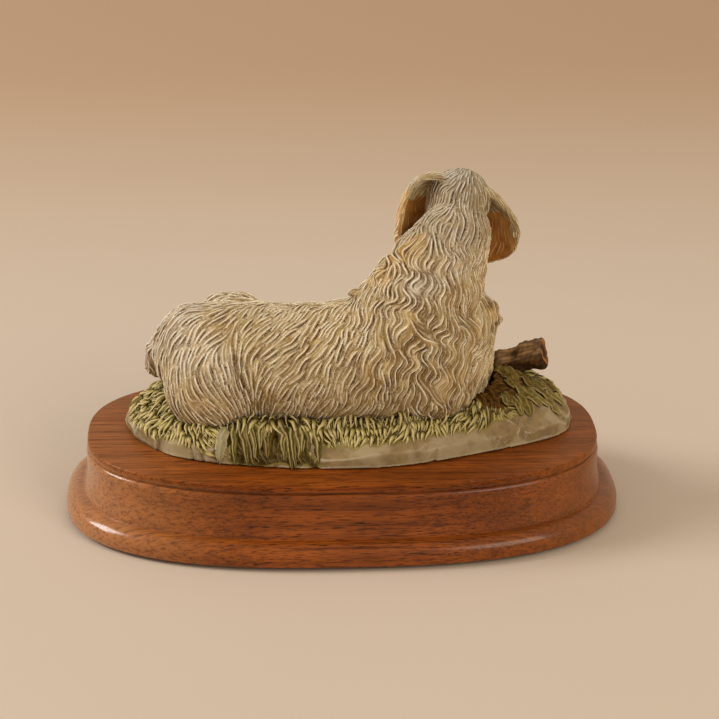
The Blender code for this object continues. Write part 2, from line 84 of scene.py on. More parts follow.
# Combing guides on the body: place, direction, spacing, depth and wave of the strands there
BODY_GUIDES = (
    # rump and right haunch
    ((-54, -1, 69), (-0.8, -0.15, -0.55), 1.9, 0.6, 0.25),
    ((-58, -6, 64), (-0.45, -0.2, -0.87), 1.9, 0.6, 0.25),
    ((-62, -4, 56), (0.0, -0.15, -1.0), 1.9, 0.6, 0.25),
    ((-42, -15, 64), (-0.8, -0.35, -0.5), 1.9, 0.6, 0.2),
    ((-48, -17, 60), (-0.5, -0.45, -0.7), 1.9, 0.65, 0.2),
    ((-51, -21, 53), (0.35, -0.4, -0.85), 1.9, 0.6, 0.15),
    ((-48, -23, 47), (0.55, 0.0, -0.8), 1.7, 0.5, 0.1),
    ((-39, -17, 61), (0.1, -0.65, -0.75), 1.9, 0.65, 0.15),
    ((-37, -21, 56), (0.3, -0.3, -0.9), 1.9, 0.65, 0.15),
    ((-34, -22, 48), (0.4, 0.2, -0.9), 1.6, 0.5, 0.1),
    ((-60, 3, 50), (0.1, -0.1, -1.0), 1.9, 0.6, 0.2),
    ((-56, -14, 50), (0.25, -0.2, -0.95), 1.9, 0.55, 0.15),
    # right flank
    ((-24, -11, 68), (-0.7, -0.6, -0.4), 1.5, 0.6, 0.2),
    ((-15, -11, 68), (-0.65, -0.65, -0.4), 1.5, 0.6, 0.2),
    ((-8, -12, 68), (-0.55, -0.7, -0.45), 1.5, 0.6, 0.2),
    ((-25, -18, 62), (-0.76, -0.3, -0.57), 1.9, 0.7, 0.25),
    ((-16, -19, 62), (-0.7, -0.4, -0.58), 1.9, 0.7, 0.25),
    ((-8, -19, 62), (-0.67, -0.4, -0.63), 1.9, 0.7, 0.25),
    ((-24, -22, 55), (-0.68, 0.0, -0.73), 2.0, 0.7, 0.3),
    ((-15, -22, 55), (-0.65, -0.1, -0.75), 2.0, 0.7, 0.3),
    ((-25, -22, 47), (-0.27, 0.3, -0.92), 1.6, 0.5, 0.25),
    ((-15, -23, 46), (-0.18, 0.27, -0.94), 1.6, 0.5, 0.25),
    ((-27, -5, 70), (-0.46, -0.85, -0.23), 1.4, 0.55, 0.15),
    ((-15, -4, 70), (-0.34, -0.9, -0.22), 1.4, 0.55, 0.15),
    ((-5, -6, 70), (-0.4, -0.85, -0.34), 1.4, 0.55, 0.15),
    ((-1, -15, 67), (-0.37, -0.7, -0.6), 1.7, 0.65, 0.25),
    ((-3, -22, 58), (-0.38, -0.28, -0.88), 2.0, 0.7, 0.3),
    ((-2, -23, 47), (-0.37, 0.2, -0.9), 1.8, 0.55, 0.3),
    # spine and left side
    ((-20, 1, 71), (-0.95, 0.25, -0.15), 1.5, 0.5, 0.2),
    ((-3, 1, 72), (-0.9, 0.3, -0.3), 1.5, 0.5, 0.2),
    ((-40, 11, 70), (-1.0, -0.1, -0.1), 1.7, 0.85, 0.25),
    ((-32, 12, 69), (-0.95, 0.1, 0.25), 1.7, 0.85, 0.25),
    ((-50, 9, 67), (-0.85, 0.1, -0.5), 1.8, 0.6, 0.2),
    ((-20, 14, 67), (-0.6, 0.65, -0.45), 1.6, 0.6, 0.2),
    ((-6, 14, 67), (-0.55, 0.65, -0.5), 1.7, 0.6, 0.2),
    ((-16, 20, 58), (-0.65, 0.35, -0.65), 1.9, 0.7, 0.25),
    ((0, 20, 58), (-0.45, 0.3, -0.85), 1.9, 0.7, 0.3),
    ((-10, 22, 46), (-0.3, -0.2, -0.95), 1.7, 0.5, 0.25),
    ((-38, 24, 60), (-0.3, 0.4, -0.85), 1.9, 0.65, 0.2),
    ((-30, 27, 55), (0.15, 0.3, -0.95), 1.9, 0.65, 0.2),
    ((-46, 20, 52), (0.1, 0.2, -0.95), 1.9, 0.6, 0.2),
    ((-32, 28, 45), (0.45, 0.0, -0.9), 1.7, 0.5, 0.15),
    # withers
    ((6, -4, 76), (-0.6, -0.45, -0.6), 1.7, 0.6, 0.3),
    ((2, -8, 71), (-0.5, -0.75, -0.4), 1.6, 0.6, 0.3),
    ((8, 6, 76), (-0.7, 0.4, -0.6), 1.7, 0.6, 0.3),
    # ruff and shoulders
    ((15, -10, 85), (-0.37, -0.44, -0.82), 1.9, 0.8, 0.6),
    ((20, -12, 89), (-0.22, -0.58, -0.79), 1.8, 0.8, 0.6),
    ((25, -18, 82), (-0.11, -0.31, -0.95), 2.1, 0.9, 0.65),
    ((17, -18, 75), (-0.21, -0.33, -0.92), 2.2, 0.9, 0.6),
    ((25, -21, 71), (-0.1, -0.22, -0.97), 2.3, 0.95, 0.65),
    ((36, -15, 86), (0.1, -0.2, -0.97), 1.9, 0.7, 0.5),
    ((43, -10, 79), (0.2, -0.1, -0.97), 1.9, 0.7, 0.4),
    ((40, -15, 70), (0.1, -0.35, -0.93), 2.2, 0.9, 0.6),
    ((22, -22, 63), (-0.1, -0.17, -0.98), 2.3, 0.95, 0.65),
    ((27, -23, 53), (0.03, 0.08, -1.0), 2.3, 0.9, 0.6),
    ((14, -23, 60), (-0.2, -0.22, -0.96), 2.1, 0.85, 0.5),
    ((12, -23, 48), (-0.27, 0.2, -0.94), 2.0, 0.7, 0.45),
    ((46, -6, 58), (-0.5, -0.75, -0.45), 2.0, 0.75, 0.4),
    ((44, -14, 56), (-0.6, -0.6, -0.55), 2.0, 0.75, 0.4),
    ((38, -19, 49), (-0.13, 0.13, -0.98), 2.1, 0.8, 0.5),
    ((35, -19, 42), (0.07, 0.3, -0.95), 2.0, 0.7, 0.4),
    ((14, 2, 88), (-0.55, 0.1, -0.85), 1.9, 0.8, 0.5),
    ((20, 12, 80), (-0.2, 0.5, -0.85), 2.1, 0.85, 0.55),
    ((15, 20, 66), (-0.2, 0.3, -0.93), 2.1, 0.85, 0.55),
    ((12, 21, 50), (-0.2, 0.0, -0.98), 2.0, 0.7, 0.4),
    # breast, below the throat
    ((32, 18, 78), (0.0, 0.35, -0.93), 2.0, 0.85, 0.55),
    ((44, 16, 74), (0.2, 0.25, -0.95), 2.0, 0.85, 0.55),
    ((44, 22, 58), (0.1, 0.0, -1.0), 2.1, 0.85, 0.55),
    ((30, 22, 58), (0.0, 0.1, -1.0), 2.1, 0.85, 0.55),
    ((50, 10, 62), (0.2, -0.1, -0.97), 2.1, 0.85, 0.5),
    ((52, 8, 48), (0.1, 0.0, -1.0), 2.1, 0.8, 0.45),
)

# Guides on the head, in its own frame: front along +X, left along +Y
HEAD_GUIDES = (
    ((18, 0, 1.5), (-1, 0, 0.1), 0.9, 0.12, 0.1),
    ((12, 0, 3.5), (-0.95, 0, 0.3), 0.9, 0.18, 0.1),
    ((9, 0, 6.5), (-0.8, 0, 0.6), 1.0, 0.22, 0.1),
    ((4, 0, 10.5), (-0.95, 0, 0.3), 1.1, 0.3, 0.15),
    ((-3, 0, 11.3), (-0.95, 0, -0.3), 1.2, 0.35, 0.15),
    ((-9, 0, 6), (-0.4, 0, -0.9), 1.3, 0.4, 0.25),
    ((-11, 0, 0), (-0.1, 0, -1), 1.3, 0.42, 0.35),
    ((-9, 6, 3), (-0.1, 0.3, -0.95), 1.3, 0.42, 0.35),
    ((-9, -6, 3), (-0.1, -0.3, -0.95), 1.3, 0.42, 0.35),
    ((-12, 0, -8), (-0.2, 0, -0.97), 1.5, 0.5, 0.55),
    ((-9, 8, -7), (0.1, -0.3, -0.95), 1.5, 0.5, 0.6),
    ((-9, -8, -7), (0.1, 0.35, -0.9), 1.5, 0.5, 0.6),
    ((6, 8.5, -4), (-0.6, 0.1, -0.75), 1.2, 0.35, 0.25),
    ((6, -8.5, -4), (-0.6, -0.1, -0.75), 1.2, 0.35, 0.25),
    ((14, 6, -3.5), (-0.95, 0.1, -0.15), 0.9, 0.14, 0.1),
    ((14, -6, -3.5), (-0.95, -0.1, -0.15), 0.9, 0.14, 0.1),
    ((15, 5.5, -7), (-0.9, 0.1, -0.35), 0.9, 0.16, 0.1),
    ((15, -5.5, -7), (-0.9, -0.1, -0.35), 0.9, 0.16, 0.1),
    ((13, 0, -12), (-0.95, 0, -0.3), 1.0, 0.2, 0.15),
    ((4, 0, -15), (-0.4, 0, -0.9), 1.5, 0.5, 0.4),
    # left ear, then right ear, from root to tip
    ((-2, 7, 9), (-0.3, 0.85, -0.1), 1.2, 0.4, 0.2),
    ((-3, 12, 8), (-0.5, 0.75, -0.5), 1.2, 0.4, 0.25),
    ((-5, 18, 2), (-0.15, 0.3, -0.95), 1.3, 0.4, 0.3),
    ((0, 18, -6), (0.0, 0.0, -1.0), 1.3, 0.4, 0.35),
    ((-1, 16, -15), (0.1, -0.1, -1.0), 1.3, 0.4, 0.35),
    ((-1, -8, 8), (0.0, -0.9, -0.35), 1.2, 0.4, 0.2),
    ((0, -13, 5), (0.1, -0.75, -0.6), 1.2, 0.4, 0.25),
    ((1, -19, 0), (0.2, -0.6, -0.75), 1.3, 0.4, 0.25),
    ((2, -22, -6), (0.2, -0.35, -0.9), 1.3, 0.4, 0.3),
    ((4, -20, -15), (0.2, 0.1, -1.0), 1.3, 0.4, 0.3),
)

# Middle lines of the tail and legs, from root to tip, whose hair lies along them
LIMB_LINES = {
    "tail": ((-56, 4, 58), (-61, 7, 52.5), (-62, 12, 45), (-59, 20, 40.7), (-50, 27, 39), (-41, 29.5, 38.7)),
    "left_hind_foot": ((-26, 27, 41.5), (-17, 29.5, 38), (-5, 30, 36.3)),
    "right_hind_foot": ((-8, 17, 39.5), (3, 24, 38.5), (9, 26.5, 37.5)),
    "left_foreleg": ((15, 14, 47.5), (20, 22, 42), (26, 30.5, 38.2), (28.5, 34, 36.9)),
    "right_foreleg": ((36, 13, 48.5), (41, 20.5, 44.5), (46, 28, 39.3), (48, 31.5, 37.3)),
}
# Grooves carved before the hair: points along each, width and depth
BODY_GROOVES = (
    (((-36, -19.5, 59), (-34.8, -21, 55), (-33.6, -21.4, 51), (-32.4, -21.3, 47)), 1.4, 1.3),
    (((-46, -21, 61), (-49, -22, 55), (-47, -23, 48)), 1.2, 0.4),
    (((6, -15, 68), (3, -21, 60), (3, -22.5, 50)), 1.6, 0.6),
    (((9, -22, 58), (14, -23, 50), (13, -23, 42)), 1.5, 0.6),
    (((36, -17, 64), (37.5, -17.5, 56), (34, -19, 48), (33, -19.5, 41)), 1.3, 0.8),
)
# The same on the head, in its frame: the mouth on both sides, the fold under the nose, and the nostrils
FACE_GROOVES = (
    (((23.2, 0, -7.4), (21, 3, -7.6), (17.3, 4.9, -8), (12.5, 6.2, -8.2)), 0.55, 0.9),
    (((23.2, 0, -7.4), (21, -3, -7.6), (17.3, -4.9, -8), (12.5, -6.2, -8.2)), 0.55, 0.9),
    (((24.6, 0, -4.6), (23.2, 0, -7.4)), 0.4, 0.6),
    (((24.2, 1.7, -2.6), (23, 3.1, -2.2)), 0.6, 0.9),
    (((24.2, -1.7, -2.6), (23, -3.1, -2.2)), 0.6, 0.9),
)
# Outer edges of the ears as the rear shows them
LEFT_EAR_EDGE = (
    (28.8, 0, 113.2), (23.3, 0, 112.5), (19.4, 0, 108.8), (17.2, 0, 103.5), (16.6, 0, 96.6), (16.4, 0, 89.7),
)
RIGHT_EAR_EDGE = (
    (47, 0, 109.4), (50.3, 0, 106.6), (53.7, 0, 104), (57, 0, 99.6), (59, 0, 93.4), (59, 0, 90),
)
# Lower edge of the hair that the head sends over the right ear
RIGHT_EAR_HAIR = ((46, 0, 101.5), (50, 0, 100.8), (53.5, 0, 99), (56, 0, 96.5), (58.2, 0, 92))
# Eyes and nose in the head's frame: the eyes' middles and radius, the nose's middle and half sizes
EYES = ((9.75, 4.75, 2.35), (9.75, -4.75, 2.35))
EYE_RADIUS = 1.55
NOSE = ((24.6, 0, -1.8), (3.2, 3.1, 2.2))

# Paws: middle of the toes, then the way that they point
PAWS = (
    ((28, 33.2, 36.6), (0.5, 0.72, -0.2)), ((47.6, 31, 37.0), (0.45, 0.75, -0.25)),
    ((-6, 29.8, 36.6), (0.98, 0.1, -0.15)), ((7.5, 25.8, 38.0), (0.75, 0.45, -0.2)),
)
# Grooves between the toes: how far apart, then width and depth
TOE_SPACING = 1.3
TOE_GROOVE = (0.5, 0.7)

# Curls that stand off the body: middle, the way that they lie, half width and half length
TUFTS = (
    ((50.6, 7.5, 66.5), (0.35, 0, -1), 1.7, 2.6), ((51.6, 6.6, 62.2), (0.5, 0, -1), 1.8, 2.4),
    ((14.4, -5.2, 87.8), (-0.7, -0.1, -0.5), 1.9, 2.4), ((11.0, -6.4, 83.0), (-0.6, -0.2, -0.6), 1.8, 2.6),
    ((17.6, -5.6, 91.0), (-0.4, -0.2, -0.8), 1.6, 2.3), ((3.0, -2.4, 75.4), (-0.9, -0.2, -0.3), 1.4, 2.4),
    ((-60.6, -1.2, 60.8), (-0.4, 0, -1), 1.5, 2.8), ((-62.0, -3.0, 54.5), (-0.1, 0, -1), 1.4, 2.6),
    ((-57.6, -2.5, 65.6), (-0.8, -0.2, -0.6), 1.4, 2.6),
)

# Patches of colour on the coat, some of them painted light or shade: place, size and strength
COAT_BLOTS = {
    "ochre": (
        ((14.6, -4.3, 88), 5, 0.9), ((12.6, -5.7, 85), 5, 0.9), ((11, -7, 82), 4.5, 0.8),
        ((17, -5, 90), 4, 0.9), ((20.7, -8.5, 92), 4, 0.8), ((23.8, -7, 94.5), 4, 0.7),
        ((7, 0, 77), 6, 0.5), ((25, 3, 98), 4, 0.6), ((16, 8, 86), 6, 0.7), ((20, -13, 87), 5, 0.3),
        ((-56, -12, 66), 6, 0.3), ((-20, -8, 69), 7, 0.25), ((10, -14, 72), 7, 0.3),
        ((45, -5, 90), 6, 0.35), ((44, 2, 97), 4, 0.5), ((51, 7, 64), 4, 0.4), ((-62, 6, 50), 6, 0.5),
        ((18.5, 7, 105), 5, 0.8), ((16.6, 8, 99), 6, 1), ((16.6, 8, 93), 5, 1), ((47, -8, 84), 5, 0.3),
        ((44, 0, 90), 5, 0.4),
    ),
    # Whitish paint on the crown, the rump and the ruff, and painted light that brightens the tail and the
    # fold over the left ear where they lie in shade
    "white": (
        ((22, 8, 110), 6, 0.6), ((36, 0, 106), 7, 0.35), ((38, 4, 99), 7, 0.2), ((36, 7, 112), 8, 0.6),
        ((42, 8, 109), 6, 0.3), ((-52, 0, 70), 10, 1), ((-52, -16, 60), 9, 0.6), ((-60, -4, 56), 7, 0.6),
        ((-62, 5, 52), 6, 0.4), ((-40, -19, 58), 7, 0.45), ((-48, -21, 48), 7, 0.3),
        ((22, -15, 86), 6, 0.3), ((-64, 8, 52), 9, 0.9), ((-59, -2, 65), 7, 0.8), ((-40, 14, 70), 7, 0.6),
        ((25, -18, 82), 5, 0.6), ((33, -16, 86), 6, 0.7), ((20.5, -16, 80), 5, 0.6),
        ((38, -10, 98), 6, 0.4), ((32, -9, 92), 7, 0.5), ((41, -8, 89), 6, 0.45), ((-46, -14, 62), 8, 0.4),
        ((0, -20, 64), 7, 0.15), ((-38, -21, 52), 6, 0.4), ((-8, -20, 60), 6, 0.2), ((28, -22, 62), 6, 0.3),
        ((-18, -21, 58), 6, 0.25),
    ),
    # Brown paint along the belly near the ground, and painted shade in the hollows behind the shoulder and
    # before the haunch
    "brown": (
        ((-31, -20, 42), 7, 0.9), ((-22, -21, 41), 6, 0.8), ((-12, -21.5, 41), 6, 0.8),
        ((-2, -22, 41), 6, 0.7), ((8, -22, 40), 6, 0.6), ((20, -23, 40), 6, 0.5), ((33, -19, 40), 6, 0.6),
        ((-35, -21, 49), 4, 0.6), ((-45, -23, 40), 6, 0.3), ((44, -9, 44), 7, 0.6), ((50, 6, 48), 7, 0.5),
        ((3, -19, 62), 7, 0.3), ((9, -22, 52), 8, 0.35), ((-3, -21, 52), 7, 0.25),
        ((-33, -20, 55), 5, 0.35), ((-31, -21, 48), 5, 0.4), ((17, -22, 48), 6, 0.25),
        ((31, -21, 50), 7, 0.25), ((-16, 8, 68), 5, 0.3), ((-27, 11, 66.5), 4, 0.5),
        ((37, -2, 100), 9, 0.16), ((34, 6, 110), 7, 0.1), ((-38, 5, 69), 4, 0.25),
    ),
}

# Spacing, depth and wave of the strands on the tail, then on the legs
LIMB_COMB = {"tail": (1.8, 0.6, 0.4)}
LEG_COMB = (1.3, 0.3, 0.2)


# Small tools for modelling by operators


def select_only(*objects):
    bpy.ops.object.select_all(action="DESELECT")
    for obj in objects:
        obj.select_set(True)
    bpy.context.view_layer.objects.active = objects[-1]


def apply_modifier(obj, kind, **values):
    """Adds a modifier to the object, sets its values and applies it."""
    select_only(obj)
    bpy.ops.object.modifier_add(type=kind)
    modifier = obj.modifiers[-1]
    for name, value in values.items():
        setattr(modifier, name, value)
    bpy.ops.object.modifier_apply(modifier=modifier.name)


def in_edit_mode(obj, work):
    """Runs the work on the object in edit mode, with nothing selected at first."""
    select_only(obj)
    bpy.ops.object.mode_set(mode="EDIT")
    bpy.ops.mesh.select_all(action="DESELECT")
    work()
    bpy.ops.object.mode_set(mode="OBJECT")


def add_object(name, data):
    """Puts a new object with this data into the scene."""
    obj = bpy.data.objects.new(name, data)
    bpy.context.scene.collection.objects.link(obj)
    return obj


def add_primitive(kind, **values):
    """Adds one of Blender's primitive meshes by its operator."""
    bpy.ops.object.select_all(action="DESELECT")
    getattr(bpy.ops.mesh, f"primitive_{kind}_add")(**values)
    return bpy.context.active_object


def remesh(obj, grain, rounds):
    """Gives the object even faces of this size in millimetres, then smooths it."""
    apply_modifier(obj, "REMESH", mode="VOXEL", voxel_size=grain * MM, use_smooth_shade=True)
    apply_modifier(obj, "SMOOTH", factor=0.5, iterations=rounds)


def merged_copy(nodes, name):
    """One object with the meshes of these CAD nodes, their loose triangles joined."""
    copies = [add_object(name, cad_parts[node].data.copy()) for node in nodes]
    for copy in copies:
        copy.data.materials.clear()
    select_only(*copies)
    if len(copies) > 1:
        bpy.ops.object.join()
    merged = bpy.context.view_layer.objects.active
    merged.name = name

    def merge():
        bpy.ops.mesh.select_all(action="SELECT")
        bpy.ops.mesh.remove_doubles(threshold=0.001 * MM)

    in_edit_mode(merged, merge)
    return merged


def settle(obj):
    """Puts the object's place into its mesh."""
    select_only(obj)
    bpy.ops.object.transform_apply(location=True, rotation=True, scale=True)


def hand_over(obj, slot, *nodes):
    """Attaches the piece to the root body and hides the CAD nodes that it stands for. The slot is not used.
    """
    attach(obj, "root")
    if nodes:
        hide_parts(*nodes)


def read_rows(items, field, width, kind=np.float32):
    """The numbers of this field as rows, one for each item."""
    flat = np.empty(len(items) * width, kind)
    items.foreach_get(field, flat)
    return flat.reshape(-1, width)


def places(mesh):
    return read_rows(mesh.vertices, "co", 3).astype(float) / MM


def put_places(mesh, points):
    mesh.vertices.foreach_set("co", (points * MM).astype(np.float32).ravel())
    mesh.update()


def vertex_normals(mesh):
    return read_rows(mesh.vertex_normals, "vector", 3).astype(float)


def edge_ends(mesh):
    return read_rows(mesh.edges, "vertices", 2, np.int32)


def store(mesh, layers):
    """Keeps each layer's numbers, one for each vertex, as an attribute."""
    for name, values in layers.items():
        layer = mesh.attributes.new(name, "FLOAT", "POINT")
        layer.data.foreach_set("value", np.asarray(values, np.float32))


def neighbour_mean(values, ends, count):
    """The mean of each vertex's neighbours."""
    total = np.zeros_like(values, dtype=float)
    degree = np.bincount(ends.ravel(), minlength=count).astype(float)
    columns = values.reshape(count, -1)
    for k in range(columns.shape[1]):
        sums = np.bincount(ends[:, 0], columns[ends[:, 1], k], count)
        sums += np.bincount(ends[:, 1], columns[ends[:, 0], k], count)
        total.reshape(count, -1)[:, k] = sums / np.maximum(degree, 1)
    return total


def unit(vectors):
    return vectors / np.maximum(np.linalg.norm(vectors, axis=-1, keepdims=True), 1e-9)


def ripple(points, size, seed, layers=5):
    """A smooth wandering number from about -1 to 1 over the points, with forms of about this size."""
    draw = random.Random(seed)
    total = np.zeros(len(points))
    for _ in range(layers):
        way = Vector([draw.gauss(0, 1) for _ in range(3)]).normalized()
        pitch = math.tau / (size * draw.uniform(0.8, 1.7))
        total += np.sin(points @ np.array(way) * pitch + draw.uniform(0, math.tau))
    return total / layers ** 0.5


def blot(points, centre, radius):
    """1 at the centre, fading to 0 at about twice the radius."""
    away = np.linalg.norm(points - np.array(centre, float), axis=1)
    return np.exp(-((away / radius) ** 2))


def blend_in(low, high, values):
    """0 up to low and 1 from high, with a smooth rise between."""
    share = np.clip((values - low) / (high - low), 0, 1)
    return share * share * (3 - 2 * share)


def turned(ways, normals, swing):
    """The directions turned within the surface by the angle of the swing."""
    side = np.cross(normals, ways)
    return ways * np.cos(swing)[:, None] + side * np.sin(swing)[:, None]


def along_surface(ways, normals):
    return unit(ways - normals * (ways * normals).sum(1)[:, None])


def polyline_gap(points, line):
    """How far each point is from a line with corners."""
    best = np.full(len(points), np.inf)
    for start, end in zip(line, line[1:]):
        start, way = np.array(start, float), np.array(end, float) - np.array(start, float)
        offset = points - start
        share = np.clip(offset @ way / max(way @ way, 1e-9), 0, 1)
        best = np.minimum(best, np.linalg.norm(offset - share[:, None] * way, axis=1))
    return best


# Combing: a field of directions over a mesh, and strands raised along it


def guide_field(points, normals, guides):
    """Blends the guides over the points. Gives the direction along the surface, spacing, depth and wave."""
    total = np.zeros((len(points), 6))
    weights = np.zeros(len(points))
    for place, way, spacing, depth, wave in guides:
        away = ((points - np.array(place, float)) ** 2).sum(1)
        weight = 1 / (away + 6.0) ** 2.2
        row = np.array([*Vector(way).normalized(), spacing, depth, wave])
        total += weight[:, None] * row
        weights += weight
    total /= weights[:, None]
    return along_surface(total[:, :3], normals), total[:, 3], total[:, 4], total[:, 5]


def wave_round(points, normals, ways, waves):
    """Swings the directions from side to side along their way, so that the hair waves."""
    along = -points[:, 2] - 0.45 * points[:, 0]
    phase = math.tau * along / WAVE_LENGTH + 2.4 * ripple(points, 27, 5) + 0.9 * ripple(points, 12, 6)
    strong = np.clip(waves - 0.15, 0, 1) * 2.0 * (0.75 + 0.35 * ripple(points, 13, 7))
    swing = strong * np.sin(phase) + 0.17 * ripple(points, 11, 8) + 0.08 * ripple(points, 5, 9)
    return turned(ways, normals, swing)


class Surface:
    """Points with their normals and the way that hair lies there, ready for quick searches."""

    def __init__(self, points, normals, ways):
        self.points = points
        self.sides = np.cross(normals, ways)
        self.corners = [Vector(p) for p in points]
        self.normals = [Vector(n) for n in normals]
        self.ways = [Vector(w) for w in ways]
        self.tree = KDTree(len(points))
        for i, corner in enumerate(self.corners):
            self.tree.insert(corner, i)
        self.tree.balance()


def stroke_starts(count, stride, first=0, seed=None):
    """Vertices to begin strokes at: one in so many, shuffled where a seed is given."""
    order = list(range(first, count, stride))
    if seed is not None:
        random.Random(seed).shuffle(order)
    return order


class Comb:
    """Draws evenly spaced strokes over a surface and raises a strand along each of them."""

    # In millimetres: a stroke's step, and how far from the surface its start may lie
    STEP = 0.45
    STRAY = 0.8
    # As shares of the spacing: how far a stroke claims the surface, how near another may begin,
    # and the distance noted where a stroke came out too short, so that none begins there again
    CLAIM = 0.9
    NEAREST = 0.82
    GIVEN_UP = 0.8

    def __init__(self, surface, spacing, seed):
        self.surface, self.tree = surface, surface.tree
        self.corners, self.normals, self.ways = surface.corners, surface.normals, surface.ways
        self.spacing = spacing.tolist()
        self.draw = random.Random(seed)
        self.near = [math.inf] * len(self.spacing)
        self.strokes = []

    def block(self, indices):
        """Keeps strokes away from these vertices."""
        for i in indices:
            self.near[i] = 0.0

    def trace(self, start, index, sense, length, closeness):
        """Follows the directions over the surface until the length is used up or a stroke is too near."""
        path = []
        place = start
        travelled = 0.0
        while travelled < length:
            place = place + self.ways[index] * (sense * self.STEP)
            index = self.tree.find(place)[1]
            if self.near[index] < closeness * self.spacing[index]:
                break
            normal = self.normals[index]
            place = place - normal * (place - self.corners[index]).dot(normal)
            path.append((place, index))
            travelled += self.STEP
        return path

    def stroke_at(self, start, index, lengths, closeness):
        length = self.draw.uniform(*lengths) * self.spacing[index]
        before = self.trace(start, index, -1, length * 0.5, closeness)
        after = self.trace(start, index, 1, length * 0.5, closeness)
        return before[::-1] + [(start, index)] + after

    def take(self, path):
        """Claims the surface round the stroke and returns places for neighbours on both sides."""
        seeds = []
        for k, (place, index) in enumerate(path):
            spacing = self.spacing[index]
            for _, near_index, away in self.tree.find_range(place, spacing * self.CLAIM):
                if away < self.near[near_index]:
                    self.near[near_index] = away
            if k % 3 == 1:
                side = self.normals[index].cross(self.ways[index])
                seeds.append(place + side * spacing)
                seeds.append(place - side * spacing)
        return seeds

    def fill(self, starts, lengths=(3.5, 8.0), closeness=0.55, shortest=4):
        """Covers the surface with strokes, each beginning beside one that is there."""
        for first in starts:
            queue = deque([self.corners[first]])
            while queue:
                place = queue.popleft()
                _, index, away = self.tree.find(place)
                if self.near[index] < self.NEAREST * self.spacing[index] or away > self.STRAY:
                    continue
                path = self.stroke_at(self.corners[index], index, lengths, closeness)
                if len(path) < shortest:
                    self.near[index] = min(self.near[index], self.GIVEN_UP * self.spacing[index])
                    continue
                queue.extend(self.take(path))
                self.strokes.append(path)

    def raise_strands(self, reach, cusp=1.8, low=0.5):
        """Sharp-crested strands along the strokes.

        Gives each point the strand's height from 0 to 1, its distance from the crest, and the
        same with the side as its sign.
        """
        points, sides = self.surface.points, self.surface.sides
        count = len(points)
        height, gaps, across = np.zeros(count), np.ones(count), np.zeros(count)
        for path in self.strokes:
            line = np.array([place for place, _ in path])
            width = self.spacing[path[len(path) // 2][1]] * reach
            tall = self.draw.uniform(low, 1.0)
            self.draw.random()  # passes over one number, so that the heights stay as they were chosen
            near = set()
            for place, _ in path[::2]:
                near.update(i for _, i, _ in self.tree.find_range(place, width + self.STEP))
            near = np.fromiter(near, int)
            starts, ways = line[:-1], np.diff(line, axis=0)
            spans = np.maximum((ways ** 2).sum(1), 1e-9)
            offset = points[near][:, None, :] - starts[None]
            share = np.clip((offset * ways[None]).sum(2) / spans, 0, 1)
            offset -= share[:, :, None] * ways[None]
            gap = np.linalg.norm(offset, axis=2)
            best = gap.argmin(1)
            rows = np.arange(len(near))
            gap, offset = gap[rows, best], offset[rows, best]
            run = (best + share[rows, best]) / len(starts)
            fade = blend_in(0, 0.3, run) * blend_in(0, 0.35, 1 - run)
            value = tall * fade ** 0.6 * np.clip(1 - gap / width, 0, 1) ** cusp
            higher = value > height[near]
            won = near[higher]
            height[won] = value[higher]
            gaps[won] = gap[higher]
            across[won] = np.copysign(gap[higher], (offset[higher] * sides[won]).sum(1))
        return height, gaps, across


# Coat


def world_from_head(place):
    return HEAD_PLACE + HEAD_TURN.to_matrix() @ Vector(place)


def all_guides():
    """The guides of the body, the head and the limbs, all in the frame of the model."""
    guides = list(BODY_GUIDES)
    for place, way, *rest in HEAD_GUIDES:
        guides.append((tuple(world_from_head(place)), tuple(HEAD_TURN.to_matrix() @ Vector(way)), *rest))
    for name, line in LIMB_LINES.items():
        comb = LIMB_COMB.get(name, LEG_COMB)
        for start, end in zip(line, line[1:]):
            start, end = Vector(start), Vector(end)
            guides.append((tuple((start + end) / 2), tuple(end - start), *comb))
    return guides


def ear_hollows(points, normals, labels):
    """1 on the smooth inner side of each ear, how deep inside a point is, then 1 on the left ear's rim."""
    left, right = labels == LEFT_EAR, labels == RIGHT_EAR
    height = points[:, 2]
    inner_left = blend_in(0.55, 0.85, normals @ np.array((0.4, -0.9, 0)))
    inner_right = blend_in(0.4, 0.75, normals @ np.array((-0.5, -0.86, 0)))
    flat = points * (1, 0, 1)
    wavy = 0.45 * ripple(points, 5, 17) + 0.3 * ripple(points, 2.4, 18)
    gap_left, gap_right = polyline_gap(flat, LEFT_EAR_EDGE), polyline_gap(flat, RIGHT_EAR_EDGE)
    fold = blend_in(103.8, 101.8, height + 1.5 * wavy)
    inner_left = inner_left * blend_in(1.8, 3.2, gap_left + 1.6 * wavy) * fold
    gap_right = np.minimum(gap_right, polyline_gap(flat, RIGHT_EAR_HAIR))
    inner_right = inner_right * blend_in(1.8, 3.2, gap_right + 1.4 * wavy) * blend_in(101.2, 99.8, height)
    inner = np.where(left, blend_in(2.0, 8.0, gap_left), blend_in(2.5, 7.5, gap_right))
    hollow = np.where(left, inner_left, 0) + np.where(right, inner_right, 0)
    rim = left * blend_in(4.5, 2.5, gap_left) * blend_in(109, 105, height) * (1 - hollow)
    return hollow, inner * hollow, rim


def toe_grooves():
    """Short grooves between the toes of each paw."""
    made = []
    for middle, way in PAWS:
        middle, way = Vector(middle), Vector(way).normalized()
        side = way.cross(UP).normalized()
        for step in (-TOE_SPACING, 0.0, TOE_SPACING):
            place = middle + side * step
            line = (place - way * 1.8 + UP * 2.2, place + way * 1.6 + UP * 1.6, place + way * 3.4)
            made.append((line, *TOE_GROOVE))
    return made


def grooves(points):
    """How deep the grooves are at each point."""
    total = np.zeros(len(points))
    face = [([world_from_head(place) for place in line], *shape) for line, *shape in FACE_GROOVES]
    for line, width, depth in (*BODY_GROOVES, *face, *toe_grooves()):
        total = np.maximum(total, depth * np.exp(-((polyline_gap(points, line) / width) ** 2)))
    return total


